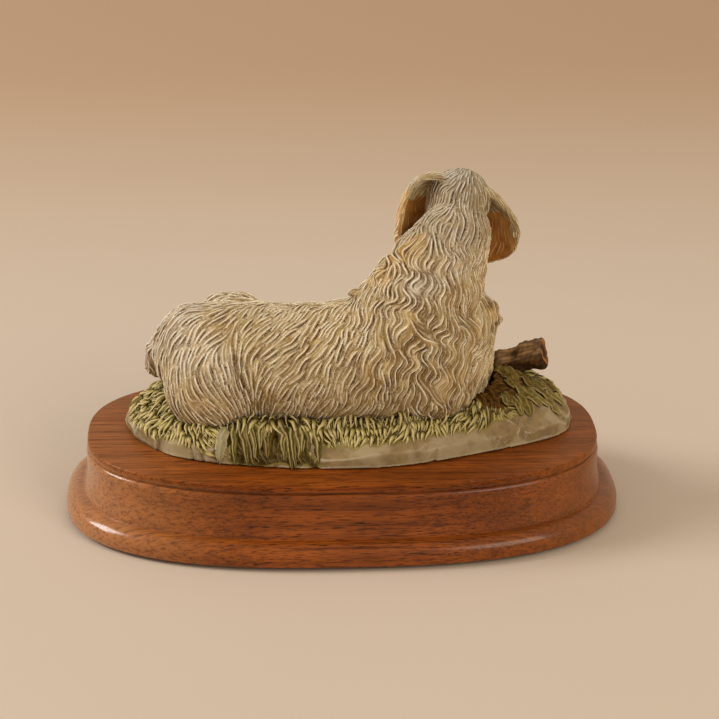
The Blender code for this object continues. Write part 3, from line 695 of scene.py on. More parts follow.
def face_forms(points):
    """The eyelids' rims, the bare skin round the eyes, and the bare nose."""
    middle = np.array(HEAD_TURN.to_matrix())
    local = (points - np.array(HEAD_PLACE)) @ middle
    away = np.min([np.linalg.norm(local - np.array(eye), axis=1) for eye in EYES], axis=0)
    lids = np.exp(-(((away - EYE_RADIUS - 0.35) / 0.5) ** 2))
    socket = blend_in(3.0, 1.4, away)
    centre, size = NOSE
    nose = blend_in(1.08, 0.92, np.linalg.norm((local - np.array(centre)) / np.array(size), axis=1))
    nose *= blend_in(20.5, 21.5, local[:, 0])
    return lids, socket, nose


def nearest_nodes(points):
    """The number in DOG_NODES of the casting that each point is nearest to."""
    corners, faces, owners = [], [], []
    for number, name in enumerate(DOG_NODES):
        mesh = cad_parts[name].data
        base = len(corners)
        corners += [vertex.co / MM for vertex in mesh.vertices]
        faces += [[base + i for i in polygon.vertices] for polygon in mesh.polygons]
        owners += [number] * len(mesh.polygons)
    tree = BVHTree.FromPolygons(corners, faces)
    return np.array([owners[tree.find_nearest(point)[2]] for point in points])


def add_tuft(place, way, width, length):
    """A rounded curl that lies along the way."""
    return add_primitive(
        "uv_sphere", segments=20, ring_count=12, radius=MM, location=Vector(place) * MM,
        rotation=Vector(way).to_track_quat("Z", "Y").to_euler(), scale=(width, width, length),
    )


def coat_blank(grain):
    """One fine skin round the dog's castings, with the joints between them closed."""
    blank = merged_copy(DOG_NODES, "coat")
    tufts = [add_tuft(*tuft) for tuft in TUFTS]
    select_only(*tufts, blank)
    bpy.ops.object.join()
    apply_modifier(blank, "DISPLACE", mid_level=0.0, strength=JOINT_FILL * MM)
    remesh(blank, grain, COAT_SMOOTHING)
    return blank


def refine_head(blank):
    """Splits the faces of the head and ears, where the hair is finer."""
    points = places(blank.data)
    labels = nearest_nodes(points)
    fine = (labels >= HEAD) & (labels <= RIGHT_EAR)

    def split():
        form = bmesh.from_edit_mesh(blank.data)
        form.verts.ensure_lookup_table()
        for face in form.faces:
            face.select = all(fine[vertex.index] for vertex in face.verts)
        bmesh.update_edit_mesh(blank.data)
        bpy.ops.mesh.subdivide(number_cuts=1, smoothness=0.6)
        bpy.ops.mesh.select_all(action="SELECT")
        bpy.ops.mesh.quads_convert_to_tris()

    in_edit_mode(blank, split)


def comb_coat(points, normals, ways, spacing):
    """Combs locks, strands and fine threads over the coat.

    Gives the strands' height, their distance from the crest without and with a sign, the threads'
    height and signed distance, and the locks' height.
    """
    surface = Surface(points, normals, ways)
    hidden = np.nonzero(points[:, 2] < COAT_FOOT)[0]
    order = stroke_starts(len(points), 40, seed=3)

    def comb_over(scale, seed, lengths, closeness, *shape):
        comb = Comb(surface, spacing * scale, seed)
        comb.block(hidden)
        comb.fill(order, lengths, closeness)
        return comb.raise_strands(*shape)

    strand, gap, across = comb_over(1.0, 11, (3.2, 8.0), 0.38, 0.66, 2.3, 0.28)
    thread, _, thread_across = comb_over(0.5, 12, (6.0, 14.0), 0.5, 0.6, 1.8, 0.3)
    lock, *_ = comb_over(2.5, 13, (2.5, 6.0), 0.45, 0.62, 1.2)
    return strand, gap, across, thread, thread_across, lock


def carve_coat(mesh, labels, strength):
    """Carves the coat and gives the layers of numbers that its paint needs."""
    points, normals = places(mesh), vertex_normals(mesh)
    hollow, inner, rim = ear_hollows(points, normals, labels)
    groove = grooves(points)
    lids, socket, nose = face_forms(points)
    ways, spacing, depth, wave = guide_field(points, normals, all_guides())
    ways = wave_round(points, normals, ways, wave)
    spacing = spacing * np.clip(1 + 0.2 * ripple(points, 13, 14) + 0.16 * ripple(points, 6, 16), 0.68, 1.5)
    strand, gap, across, thread, thread_across, lock = comb_coat(points, normals, ways, spacing)
    tall = np.clip(strand / np.maximum(1 - gap / (0.66 * spacing), 0.05) ** 2.3, 0, 1)
    swell = (lock - 0.4) * (0.6 + 0.6 * blend_in(0.6, 0.9, depth))
    relief = strand + 0.22 * thread * (1 - strand) + swell
    relief -= 0.4 * tall * np.exp(-(((across - 0.55) / 0.25) ** 2))
    depth = depth * (1 + 0.3 * blend_in(0.7, 0.95, depth))
    depth = depth * (1 - 0.8 * hollow) * (1 - 0.9 * socket) * (1 - nose)
    move = (relief - 0.6) * depth * strength - 0.7 * hollow - groove + 0.5 * lids - 0.35 * socket
    move += 0.12 * hollow * ripple(points, 3.2, 19)
    move += nose * (0.25 + 0.05 * ripple(points, 0.9, 15))
    points = points + normals * move[:, None]
    ends, count = edge_ends(mesh), len(points)
    points += 0.1 * (neighbour_mean(points, ends, count) - points)
    put_places(mesh, points)
    bulge = ((points - neighbour_mean(points, ends, count)) * normals).sum(1)
    layers = {
        "carve": np.clip(0.75 - 0.8 * relief + 0.7 * groove, 0, 1),
        "ridge": np.clip(bulge / 0.04, 0, 1) * (1 - hollow),
        "gap": gap, "across": across, "thread": thread_across,
        "tall": tall * (1 - 0.8 * hollow) * (1 - socket) * (1 - nose),
        "hollow": hollow, "inner": inner, "rim": rim,
        "ear": (labels == LEFT_EAR) | (labels == RIGHT_EAR),
        "dark": np.clip(nose + 0.75 * lids + (groove > 0.35) * (labels == HEAD), 0, 1),
    }
    for name, blots in COAT_BLOTS.items():
        patches = sum(share * blot(points, place, size) for place, size, share in blots)
        layers[name] = np.clip(patches, 0, 1)
    return layers


def colour_setting(name, description, colour):
    return bpy.props.FloatVectorProperty(
        name=name, description=description, default=colour, min=0, max=1, subtype="COLOR",
    )


class ORNAMENT_PG_coat(bpy.types.PropertyGroup):
    grain: bpy.props.FloatProperty(
        name="Mesh grain", description="Size of the faces that the coat is carved in, in millimetres",
        default=0.4, min=0.2, max=2.0,
    )
    depth: bpy.props.FloatProperty(
        name="Depth", description="Depth of the carving, as a share of the depth that the guides give",
        default=1.25, min=0.0, max=2.0, subtype="FACTOR",
    )
    hair: colour_setting("Hair", "Main paint of the hair", (0.44, 0.318, 0.145))
    # The hollows' colour is both the dark wash and the painted shade beside strands and threads
    hollow: colour_setting("Hollows", "Dark wash that stays between the strands", (0.095, 0.034, 0.0))
    ochre: colour_setting("Ochre", "Warm paint on the ears and ruff", (0.64, 0.375, 0.10))


class ORNAMENT_OT_coat(bpy.types.Operator):
    """Carve and paint the dog's coat"""

    bl_idname = "ornament.coat"
    bl_label = "Coat"

    def execute(self, context):
        values = getattr(context.scene, SETTINGS).coat
        coat = coat_blank(values.grain)
        refine_head(coat)
        labels = nearest_nodes(places(coat.data))
        layers = carve_coat(coat.data, labels, values.depth)
        split_coat(coat, coat_finish(values), labels, layers)
        return {"FINISHED"}


def eye_finish():
    eye = Finish("eye_gloss", roughness=0.12, coat_weight=0.6, coat_roughness=0.05)
    here = eye.millimetres()
    fleck = eye.noise(here, 0.5, 3)
    eye.set(base_color=eye.mix(fleck, (0.006, 0.003, 0.002), (0.03, 0.012, 0.005)))
    eye.bump(fleck, 0.01)
    return eye.material


class ORNAMENT_OT_eyes(bpy.types.Operator):
    """Set the two glossy eyes"""

    bl_idname = "ornament.eyes"
    bl_label = "Eyes"

    def execute(self, context):
        pattern = add_primitive("uv_sphere", segments=40, ring_count=24, radius=EYE_RADIUS * MM)
        bpy.ops.object.shade_smooth()
        pattern.data.materials.append(eye_finish())
        for place, name in zip(EYES, ("left_eye", "right_eye")):
            eye = add_object(name, pattern.data.copy())
            eye.location = world_from_head(place) * MM
            settle(eye)
            hand_over(eye, "coat_paint")
        bpy.data.objects.remove(pattern)
        return {"FINISHED"}


def close_openings(mesh):
    """Fills each open edge loop with a face."""
    form = bmesh.new()
    form.from_mesh(mesh)
    open_edges = [edge for edge in form.edges if edge.is_boundary]
    bmesh.ops.holes_fill(form, edges=open_edges, sides=0)
    form.to_mesh(mesh)
    form.free()


def split_coat(coat, paint, labels, layers):
    """Parts the carved skin into the dog's castings and closes each where it was parted."""
    mesh = coat.data
    ends, count = edge_ends(mesh), len(labels)
    for _ in range(PARTING_ROUNDS):
        votes = np.stack([
            neighbour_mean((labels == k).astype(float), ends, count) + 0.01 * (labels == k)
            for k in range(len(DOG_NODES))
        ])
        labels = votes.argmax(0)
    corners = read_rows(mesh.loops, "vertex_index", 1, np.int32).reshape(-1, 3)
    owners = labels[corners].max(1)
    points, normals = places(mesh), vertex_normals(mesh)
    for number, name in enumerate(DOG_NODES):
        faces = corners[owners == number]
        used, faces = np.unique(faces, return_inverse=True)
        part_mesh = bpy.data.meshes.new(name + "_coat")
        part_mesh.from_pydata(points[used] * MM, [], faces.reshape(-1, 3))
        store(part_mesh, {layer: values[used] for layer, values in layers.items()})
        close_openings(part_mesh)
        part_mesh.shade_smooth()
        part_mesh.normals_split_custom_set_from_vertices(normals[used])
        part_mesh.materials.append(paint)
        part = add_object(name + "_coat", part_mesh)
        if len(part_mesh.polygons) > FACE_LIMIT:
            apply_modifier(part, "DECIMATE", ratio=FACE_LIMIT / len(part_mesh.polygons))
        hand_over(part, "coat_paint", name)
    bpy.data.objects.remove(coat)


# Finishes


class Number:
    """A number over a surface, made by shader nodes, that takes Python arithmetic."""

    def __init__(self, finish, socket):
        self.finish = finish
        self.socket = socket

    def _math(self, operation, first, second):
        return self.finish.node("Math", {"operation": operation}, {0: first, 1: second})

    def __add__(self, other):
        return self._math("ADD", self, other)

    def __radd__(self, other):
        return self._math("ADD", other, self)

    def __sub__(self, other):
        return self._math("SUBTRACT", self, other)

    def __rsub__(self, other):
        return self._math("SUBTRACT", other, self)

    def __mul__(self, other):
        return self._math("MULTIPLY", self, other)

    def __rmul__(self, other):
        return self._math("MULTIPLY", other, self)


class Finish:
    """A material whose nodes all come from one method."""

    def __init__(self, name, **fixed):
        self.material = bpy.data.materials.new(name)
        self.material.use_nodes = True
        self.tree = self.material.node_tree
        self.shader = self.tree.nodes["Principled BSDF"]
        self.set(**fixed)

    def feed(self, socket, value):
        if isinstance(value, Number):
            self.tree.links.new(value.socket, socket)
        else:
            socket.default_value = value

    def set(self, **values):
        """Sets or links the shader's own sockets, named in small letters."""
        for name, value in values.items():
            label = name.replace("_", " ").title().replace("Ior", "IOR")
            self.feed(self.shader.inputs[label], value)

    def node(self, kind, settings=None, sockets=None, output=0):
        node = self.tree.nodes.new("ShaderNode" + kind)
        for name, value in (settings or {}).items():
            setattr(node, name, value)
        for name, value in (sockets or {}).items():
            self.feed(node.inputs[name], value)
        return Number(self, node.outputs[output])

    def millimetres(self, stretch=(1, 1, 1)):
        """Object coordinates in millimetres, stretched along the axes."""
        place = self.node("TexCoord", output=3)
        scale = tuple(1 / (MM * s) for s in stretch)
        return self.node("Mapping", None, {"Vector": place, "Scale": scale})

    def part(self, place, number):
        """One of the place's three numbers."""
        return self.node("SeparateXYZ", None, {"Vector": place}, number)

    def noise(self, place, size, detail=2.0, roughness=0.5):
        """Noise from 0 to 1 with forms of about this size."""
        sockets = {"Vector": place, "Scale": 1 / size, "Detail": detail, "Roughness": roughness}
        return self.node("TexNoise", None, sockets)

    def attribute(self, name, output=2):
        return self.node("Attribute", {"attribute_name": name}, output=output)

    def between(self, value, low, high, to_low=0.0, to_high=1.0):
        """Maps low to high onto the new range, with a smooth rise and no overshoot."""
        settings = {"interpolation_type": "SMOOTHSTEP"}
        sockets = {"Value": value, 1: low, 2: high, 3: to_low, 4: to_high}
        return self.node("MapRange", settings, sockets)

    def mix(self, factor, first, second, way="MIX"):
        """Mixes two colours."""
        settings = {"data_type": "RGBA", "blend_type": way, "clamp_factor": True}
        first, second = [c if isinstance(c, Number) else (*c, 1.0) for c in (first, second)]
        return self.node("Mix", settings, {0: factor, 6: first, 7: second}, 2)

    def clamped(self, value):
        return self.node("Clamp", None, {0: value})

    def line(self, across, core, edge):
        """1 where the distance is below core and 0 from edge on."""
        away = self.node("Math", {"operation": "ABSOLUTE"}, {0: across})
        return self.between(away, edge, core)

    def bump(self, height, distance, strength=1.0):
        sockets = {"Height": height, "Distance": distance * MM, "Strength": strength}
        self.set(normal=self.node("Bump", None, sockets))


def coat_finish(values):
    paint = Finish("coat_paint", specular_ior_level=0.12)
    here = paint.millimetres()
    carve, ridge = paint.attribute("carve"), paint.attribute("ridge")
    gap, tall, across, thread = (paint.attribute(name) for name in ("gap", "tall", "across", "thread"))
    inside, dark, ear = (paint.attribute(name) for name in ("hollow", "dark", "ear"))
    blotch = paint.noise(here, 9, 3)
    mottle = paint.noise(here, 1.6, 3)
    patch = paint.noise(here, 5, 2)
    crest_line = paint.line(across, 0.05, 0.25) * paint.between(gap, 0.5, 0.35) * tall
    thread_line = paint.line(thread, 0.03, 0.16) * (1.0 - inside)
    # A dark line along one side of each strand's crest: painted shade on the side turned from the light
    painted_shade = paint.between(across, 0.16, 0.34) * paint.between(across, 0.85, 0.55) * tall
    painted_shade = painted_shade * paint.between(mottle, 0.3, 0.6, 0.55, 1.0)
    # A thin dark line along one side of each fine thread: painted shade
    thread_shade = paint.between(thread, 0.1, 0.2) * paint.between(thread, 0.5, 0.3) * (1.0 - inside)
    hair, hollow, ochre = tuple(values.hair), tuple(values.hollow), tuple(values.ochre)

    def region(name, low, high):
        """A patch of colour with a ragged edge."""
        return paint.between(paint.attribute(name) + 0.5 * blotch - 0.25 + 0.25 * mottle - 0.12, low, high)

    # Whitish paint, and painted light where the tail and the left ear's fold lie in shade
    white = region("white", 0.1, 1.1)
    base = paint.mix(white, hair, (0.58, 0.50, 0.375))
    base = paint.mix(paint.between(blotch, 0.48, 0.66) * 0.4, base, ochre)
    base = paint.mix(region("ochre", 0.2, 0.8) * 0.95, base, ochre)
    # Brown paint, and painted shade in the hollows
    base = paint.mix(region("brown", 0.2, 0.95) * 0.75, base, (0.20, 0.115, 0.03))
    tan = paint.mix(paint.between(patch, 0.42, 0.6), (0.28, 0.16, 0.015), (0.35, 0.23, 0.095))
    wash = paint.between(carve + 0.3 * mottle - 0.15, 0.05, 0.75)
    colour = paint.mix(wash * 0.7, base, paint.mix(0.6, base, tan))
    deep = paint.between(carve + 0.35 * blotch - 0.17, 0.6, 1.1)
    soft = 1.0 - 0.75 * ear
    # Dark wash in the deepest carving, and painted shade beside the strands and threads, in the hollows'
    # colour; less on the ears
    colour = paint.mix(paint.clamped(deep * 0.5 + painted_shade * 0.95 + thread_shade * 0.22) * soft, colour, hollow)
    rim = paint.mix(mottle, (0.66, 0.37, 0.11), (0.84, 0.58, 0.27))
    colour = paint.mix(paint.attribute("rim") * 0.75, colour, rim)
    # Ochre inside the ears, darkening deeper into the hollow: painted shade
    ear_depth_shade = paint.between(paint.attribute("inner") + 0.4 * blotch - 0.2, 0.1, 0.9)
    inner = paint.mix(ear_depth_shade, (0.50, 0.25, 0.06), (0.21, 0.06, 0.005))
    inner = paint.mix(paint.line(thread, 0.05, 0.4) * 0.3, inner, (0.56, 0.28, 0.07))
    colour = paint.mix(paint.between(inside + 0.3 * mottle - 0.15, 0.2, 0.6), colour, inner)
    bright = paint.mix(white, (1.0, 0.885, 0.68), (1.0, 0.93, 0.80))
    colour = paint.mix(paint.clamped(ridge * 0.25 + crest_line * 1.0 + thread_line * 0.22), colour, bright)
    crown = paint.between(paint.part(here, 2), 88.0, 99.0) * (1.0 - ear)
    colour = paint.mix(crown, colour, (0.77, 0.78, 0.82), "MULTIPLY")
    colour = paint.mix(paint.between(dark + 0.2 * mottle - 0.1, 0.4, 0.75), colour, (0.018, 0.011, 0.008))
    matt = paint.between(mottle, 0.3, 0.7, 0.52, 0.7)
    paint.set(base_color=colour, roughness=matt - 0.25 * paint.between(dark, 0.6, 0.9))
    paint.bump(mottle * 0.3 + crest_line + thread_line * 0.4 - painted_shade * 0.7, 0.2)
    return paint.material


# Plinth, felt and screws

OVAL_HALF = (85.0, 46.0)
OVAL_POWER = 2.6
OVAL_SIDES = 256
# Arcs of its moulded side: centre, half width and half height, first and last angle, steps
FOOT_ARC = ((7.0, 2.0), (0.7, 0.7), -90, 0, 6)
BEAD_ARC = ((2.5, 3.9), (5.2, 4.7), 0, 90, 18)
SHOULDER_ARC = ((-0.8, 21.7), (1.3, 1.7), 0, 90, 9)
LIP_ARC = ((-0.7, 25.8), (0.7, 0.7), 0, 90, 6)
BEAD_TOP = 8.6
# Flared band over the bead: its foot, rise, lean and hollow, and steps
BAND_FOOT = (2.0, 9.1)
BAND_RISE, BAND_LEAN, BAND_HOLLOW = 12.6, 1.5, 0.7
BAND_STEPS = 12
RECESS = (-0.8, 24.2)
FOOT = 1.3
SCREW_X = 33.0
COUNTERBORE = (4.6, 7.0)
SCREW_HOLE = 2.1
DRILL_SIDES = 64


def oval(grow):
    """The plinth's rounded oval outline, moved outwards by grow."""
    half_length, half_width = OVAL_HALF
    points = []
    for i in range(OVAL_SIDES):
        angle = math.tau * i / OVAL_SIDES
        across, along = math.cos(angle), math.sin(angle)
        x = math.copysign(abs(across) ** (2 / OVAL_POWER), across)
        y = math.copysign(abs(along) ** (2 / OVAL_POWER), along)
        steep_x = math.copysign(abs(x) ** (OVAL_POWER - 1), x) / half_length
        steep_y = math.copysign(abs(y) ** (OVAL_POWER - 1), y) / half_width
        outward = Vector((steep_x, steep_y)).normalized() * grow
        points.append((x * half_length + outward.x, y * half_width + outward.y))
    return points


def arc(centre, radii, start, end, steps):
    angles = [math.radians(start + (end - start) * i / steps) for i in range(steps + 1)]
    return [(centre[0] + radii[0] * math.cos(a), centre[1] + radii[1] * math.sin(a)) for a in angles]


def plinth_profile():
    """The moulded side as (outward, height) pairs: foot, bead, step, flared band, recess and lip."""
    reach, height = BAND_FOOT
    profile = arc(*FOOT_ARC) + arc(*BEAD_ARC)
    profile += [(reach, BEAD_TOP), BAND_FOOT]
    for i in range(1, BAND_STEPS + 1):
        up = i / BAND_STEPS
        lean, hollow = BAND_LEAN * up, BAND_HOLLOW * math.sin(math.pi * up)
        profile.append((reach - lean - hollow, height + BAND_RISE * up))
    profile += arc(*SHOULDER_ARC)[1:]
    profile += [RECESS, (0.0, RECESS[1])]
    profile += arc(*LIP_ARC)
    return profile


def wood_finish(values):
    wood = Finish("mahogany_stain", specular_ior_level=0.1, coat_roughness=0.16)
    figure = wood.noise(wood.millimetres((90, 5, 5)), 1, 3, 0.6)
    streak = wood.noise(wood.millimetres((45, 0.9, 0.9)), 1, 4, 0.65)
    pore = wood.noise(wood.millimetres((6, 0.28, 0.28)), 1, 2, 0.6)
    here = wood.millimetres()
    cloud = wood.noise(here, 30, 2)
    along, height = wood.part(here, 0), wood.part(here, 2)
    base, dark = tuple(values.stain), tuple(values.grain)
    light = tuple(min(1, 1.6 * c) for c in base)
    colour = wood.mix(wood.between(figure, 0.3, 0.7), base, light)
    colour = wood.mix(wood.between(streak, 0.42, 0.7) * 0.75, colour, dark)
    colour = wood.mix(wood.between(pore, 0.52, 0.66) * 0.9, colour, tuple(0.3 * c for c in dark))
    colour = wood.mix(wood.between(cloud, 0.35, 0.7) * 0.3, colour, dark)
    # Lighter stain at the left end, most on the band below the top: a painted sheen
    wear_and_sheen = wood.between(along, -30.0, -88.0) * wood.between(streak, 0.7, 0.4, 0.35, 1.0)
    varnish_and_sheen = wood.between(height, 25.5, 24.0)
    colour = wood.mix(wear_and_sheen * (0.3 + 0.35 * varnish_and_sheen), colour, (0.53, 0.23, 0.08))
    # Lighter stain at the right end: a painted reflection
    colour = wood.mix(wood.between(along, 40.0, 90.0) * 0.25, colour, (0.42, 0.17, 0.05))
    wood.set(base_color=colour, roughness=wood.between(streak, 0.2, 0.8, 0.26, 0.4))
    left = wood.between(along, -50.0, -88.0)
    wood.set(coat_weight=varnish_and_sheen * (0.4 + 0.5 * left) + 0.02)
    wood.bump(pore * -1.0 + streak * 0.4, 0.05, 0.35)
    return wood.material


class ORNAMENT_PG_plinth(bpy.types.PropertyGroup):
    stain: colour_setting("Stain", "Main colour of the stained wood", (0.205, 0.050, 0.0055))
    grain: colour_setting("Grain", "Colour of the darker streaks", (0.075, 0.015, 0.002))
    edge: bpy.props.FloatProperty(
        name="Edge rounding", description="How far the moulding's edges are sanded, in millimetres",
        default=0.22, min=0.05, max=0.6,
    )


class ORNAMENT_OT_plinth(bpy.types.Operator):
    """Mould, drill and stain the wooden plinth"""

    bl_idname = "ornament.plinth"
    bl_label = "Plinth"

    def execute(self, context):
        values = getattr(context.scene, SETTINGS).plinth
        plinth = add_primitive("circle", vertices=OVAL_SIDES, fill_type="NGON", radius=0.1)
        plinth.name = plinth.data.name = "moulded_plinth"
        profile = plinth_profile()

        def ring(grow, height):
            form = bmesh.from_edit_mesh(plinth.data)
            loop = [vertex for vertex in form.verts if vertex.select]
            for vertex, (x, y) in zip(loop, oval(grow)):
                vertex.co = Vector((x, y, height)) * MM
            bmesh.update_edit_mesh(plinth.data)

        def mould():
            bpy.ops.mesh.select_all(action="SELECT")
            ring(*profile[0])
            for grow, height in profile[1:]:
                bpy.ops.mesh.extrude_region_move()
                ring(grow, height)
            bpy.ops.mesh.select_all(action="DESELECT")
            bpy.ops.mesh.select_non_manifold()
            bpy.ops.mesh.edge_face_add()
            bpy.ops.mesh.select_all(action="SELECT")
            bpy.ops.mesh.normals_make_consistent(inside=False)

        in_edit_mode(plinth, mould)
        radius, depth = COUNTERBORE
        for x in (-SCREW_X, SCREW_X):
            for size, top in ((radius, FOOT + depth), (SCREW_HOLE, 2 * PLINTH_TOP)):
                bore = add_drill(size, top, x)
                apply_modifier(plinth, "BOOLEAN", operation="DIFFERENCE", object=bore, solver="EXACT")
                bpy.data.objects.remove(bore)
        apply_modifier(
            plinth, "BEVEL", width=values.edge * MM, segments=2,
            limit_method="ANGLE", angle_limit=math.radians(35),
        )
        select_only(plinth)
        bpy.ops.object.shade_smooth_by_angle(angle=math.radians(28))
        plinth.data.materials.append(wood_finish(values))
        hand_over(plinth, "plinth_wood", "wood_plinth")
        return {"FINISHED"}


def add_drill(radius, top, x):
    """A round cutter from below the foot up to this height."""
    drill = add_primitive(
        "cylinder", vertices=DRILL_SIDES, radius=radius * MM, depth=(top + 2) * MM,
        location=(x * MM, 0, (top / 2 - 1) * MM),
    )
    settle(drill)
    return drill


def felt_finish():
    felt = Finish("green_felt", roughness=0.95, sheen_weight=0.3)
    here = felt.millimetres()
    fibre = felt.noise(here, 0.35, 3, 0.7)
    patch = felt.noise(here, 6, 2)
    colour = felt.mix(fibre, (0.022, 0.06, 0.032), (0.07, 0.16, 0.09))
    felt.set(base_color=felt.mix(patch * 0.3, colour, (0.03, 0.08, 0.045)))
    felt.bump(fibre, 0.15)
    return felt.material


def steel_finish():
    steel = Finish("zinc_plate", metallic=1.0)
    here = steel.millimetres()
    spangle = steel.noise(here, 0.7, 2)
    colour = steel.mix(spangle, (0.5, 0.5, 0.47), (0.66, 0.66, 0.63))
    steel.set(base_color=colour, roughness=steel.between(spangle, 0.2, 0.8, 0.28, 0.45))
    steel.bump(spangle, 0.02)
    return steel.material


class ORNAMENT_OT_underside(bpy.types.Operator):
    """Finish the felt pad and the screws above it"""

    bl_idname = "ornament.underside"
    bl_label = "Felt and screws"

    def execute(self, context):
        steel = steel_finish()
        for node, finish in (("felt_pad", felt_finish()), ("screw_rear", steel), ("screw_front", steel)):
            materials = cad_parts[node].data.materials
            materials.clear()
            materials.append(finish)
        return {"FINISHED"}


# Ground and grass

GROUND_GRAIN = 0.5
GROUND_SMOOTHING = 12
TURF_SPACING = 1.35
# Line under the dog that the grass leads away from
SPINE = ((-44, 2), (42, 2))
# Bare earth at the log: middles of round patches, their size, and the heights between which it fades in
BANK_PLACES = ((52, 2), (50.5, -3), (49, -7), (58, 3), (63, 5), (57, -3), (67, 4))
BANK_SIZE = 5.5
BANK_FOOT = (36.5, 38.5)
# How far inside the rim the grass ends, along the front and along the back
FRONT_LINE = (
    (-76, 2.2), (-40, 1.9), (-18, 1.9), (-13, 4.2), (0, 4.6), (30, 4.6), (45, 4.0), (58, 5.5),
    (66, 9), (80, 12),
)
BACK_LINE = 3.2
# Where the turf hangs over the rim: its left end, its right end, its back and its foot, each as a blend
HUNG_LEFT, HUNG_RIGHT = (-39.5, -37.5), (-10, -12)
HUNG_BACK, HUNG_FOOT = (-17, -19), (26.9, 28.5)
# Where broad blades hang, from x to x, and the corner before which the bank stays free of grass
HUNG_SPAN = (-39, -13)
BANK_CORNER = (46, 14)
# Pieces knocked off the rim: how many, and how many of them are broad
CHIPS = 70
BROAD_CHIPS = 46
# Rows of grass: spacing, length in spacings, height, reach inside the grass line, lift and breadth
GRASS_ROWS = (
    (1.4, (4.5, 7), 0.8, (-1.4, 5), 0.3, 1.1),
    (1.9, (4.0, 6.0), 0.7, (1.4, math.inf), 0.8, 1.0),
)
BLADE_ROWS = 10


def outward_ways(points, normals, seed, astray=1.0):
    """Directions over the ground that lead away from under the dog, a little astray."""
    (x0, y0), (x1, _) = SPINE
    x, y, _ = points.T
    ways = np.stack([x - np.clip(x, x0, x1), y - y0, np.full(len(points), -0.2)], 1)
    swing = 0.3 * ripple(points, 16, seed) + astray * 0.35 * ripple(points, 8, seed + 1)
    return turned(along_surface(ways, normals), normals, swing)


def grass_line(points):
    """How far inside the rim the grass ends near each point."""
    front = np.interp(points[:, 0], *np.array(FRONT_LINE, float).T)
    return BACK_LINE + (front - BACK_LINE) * blend_in(8, -4, points[:, 1])


def hanging_turf(points):
    """1 where the turf hangs over the rim, in a patch that slants to the right as it goes down."""
    x, y, z = points.T
    return blend_in(*HUNG_LEFT, x) * blend_in(*HUNG_RIGHT, x - 0.6 * (30 - z)) * blend_in(*HUNG_BACK, y)


def chip(points, inside, seed):
    """Flattens the rim of the ground into facets, as if it was knocked off a slab."""
    draw = random.Random(seed)
    rim = np.nonzero((inside < 1.2) & (points[:, 2] > PLINTH_TOP + 1.5))[0]
    points = points.copy()
    for number in range(CHIPS):
        broad = number < BROAD_CHIPS
        centre = points[rim[draw.randrange(len(rim))]]
        outward = Vector((centre[0] / 1.9, centre[1], 0)).normalized()
        tilt = draw.choice((-0.1, 0.15, 1.4, 2.2) if broad else (0.1, 0.8, 1.6))
        way = Vector((outward.x + draw.uniform(-0.4, 0.4), outward.y + draw.uniform(-0.4, 0.4), tilt))
        way.normalize()
        size = draw.uniform(8, 16) if broad else draw.uniform(2.5, 5)
        close = np.nonzero(np.linalg.norm(points - centre, axis=1) < size)[0]
        reach = (points[close] - centre) @ np.array(way)
        cut = draw.uniform(0.5, 1.3) if broad else draw.uniform(0.2, 0.5)
        beyond = np.maximum(reach - (reach.max() - cut), 0)
        points[close] -= beyond[:, None] * np.array(way)
    return points


def rim_distance(points):
    """How far each point of the ground lies inside its outline, seen from above."""
    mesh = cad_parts["ground_casting"].data
    foot = [v.co / MM for v in mesh.vertices if v.co.z / MM < PLINTH_TOP + 0.4]
    reach = {}
    for place in foot:
        sector = round(math.degrees(math.atan2(place.y, place.x)) / 6)
        if place.xy.length > reach.get(sector, Vector()).length:
            reach[sector] = place.xy.to_3d()
    outline = [reach[key].xy for key in sorted(reach)]
    best = np.full(len(points), np.inf)
    for start, end in zip(outline, outline[1:] + outline[:1]):
        start, way = np.array(start), np.array(end - start)
        offset = points[:, :2] - start
        share = np.clip(offset @ way / max(way @ way, 1e-9), 0, 1)
        best = np.minimum(best, np.linalg.norm(offset - share[:, None] * way, axis=1))
    return best


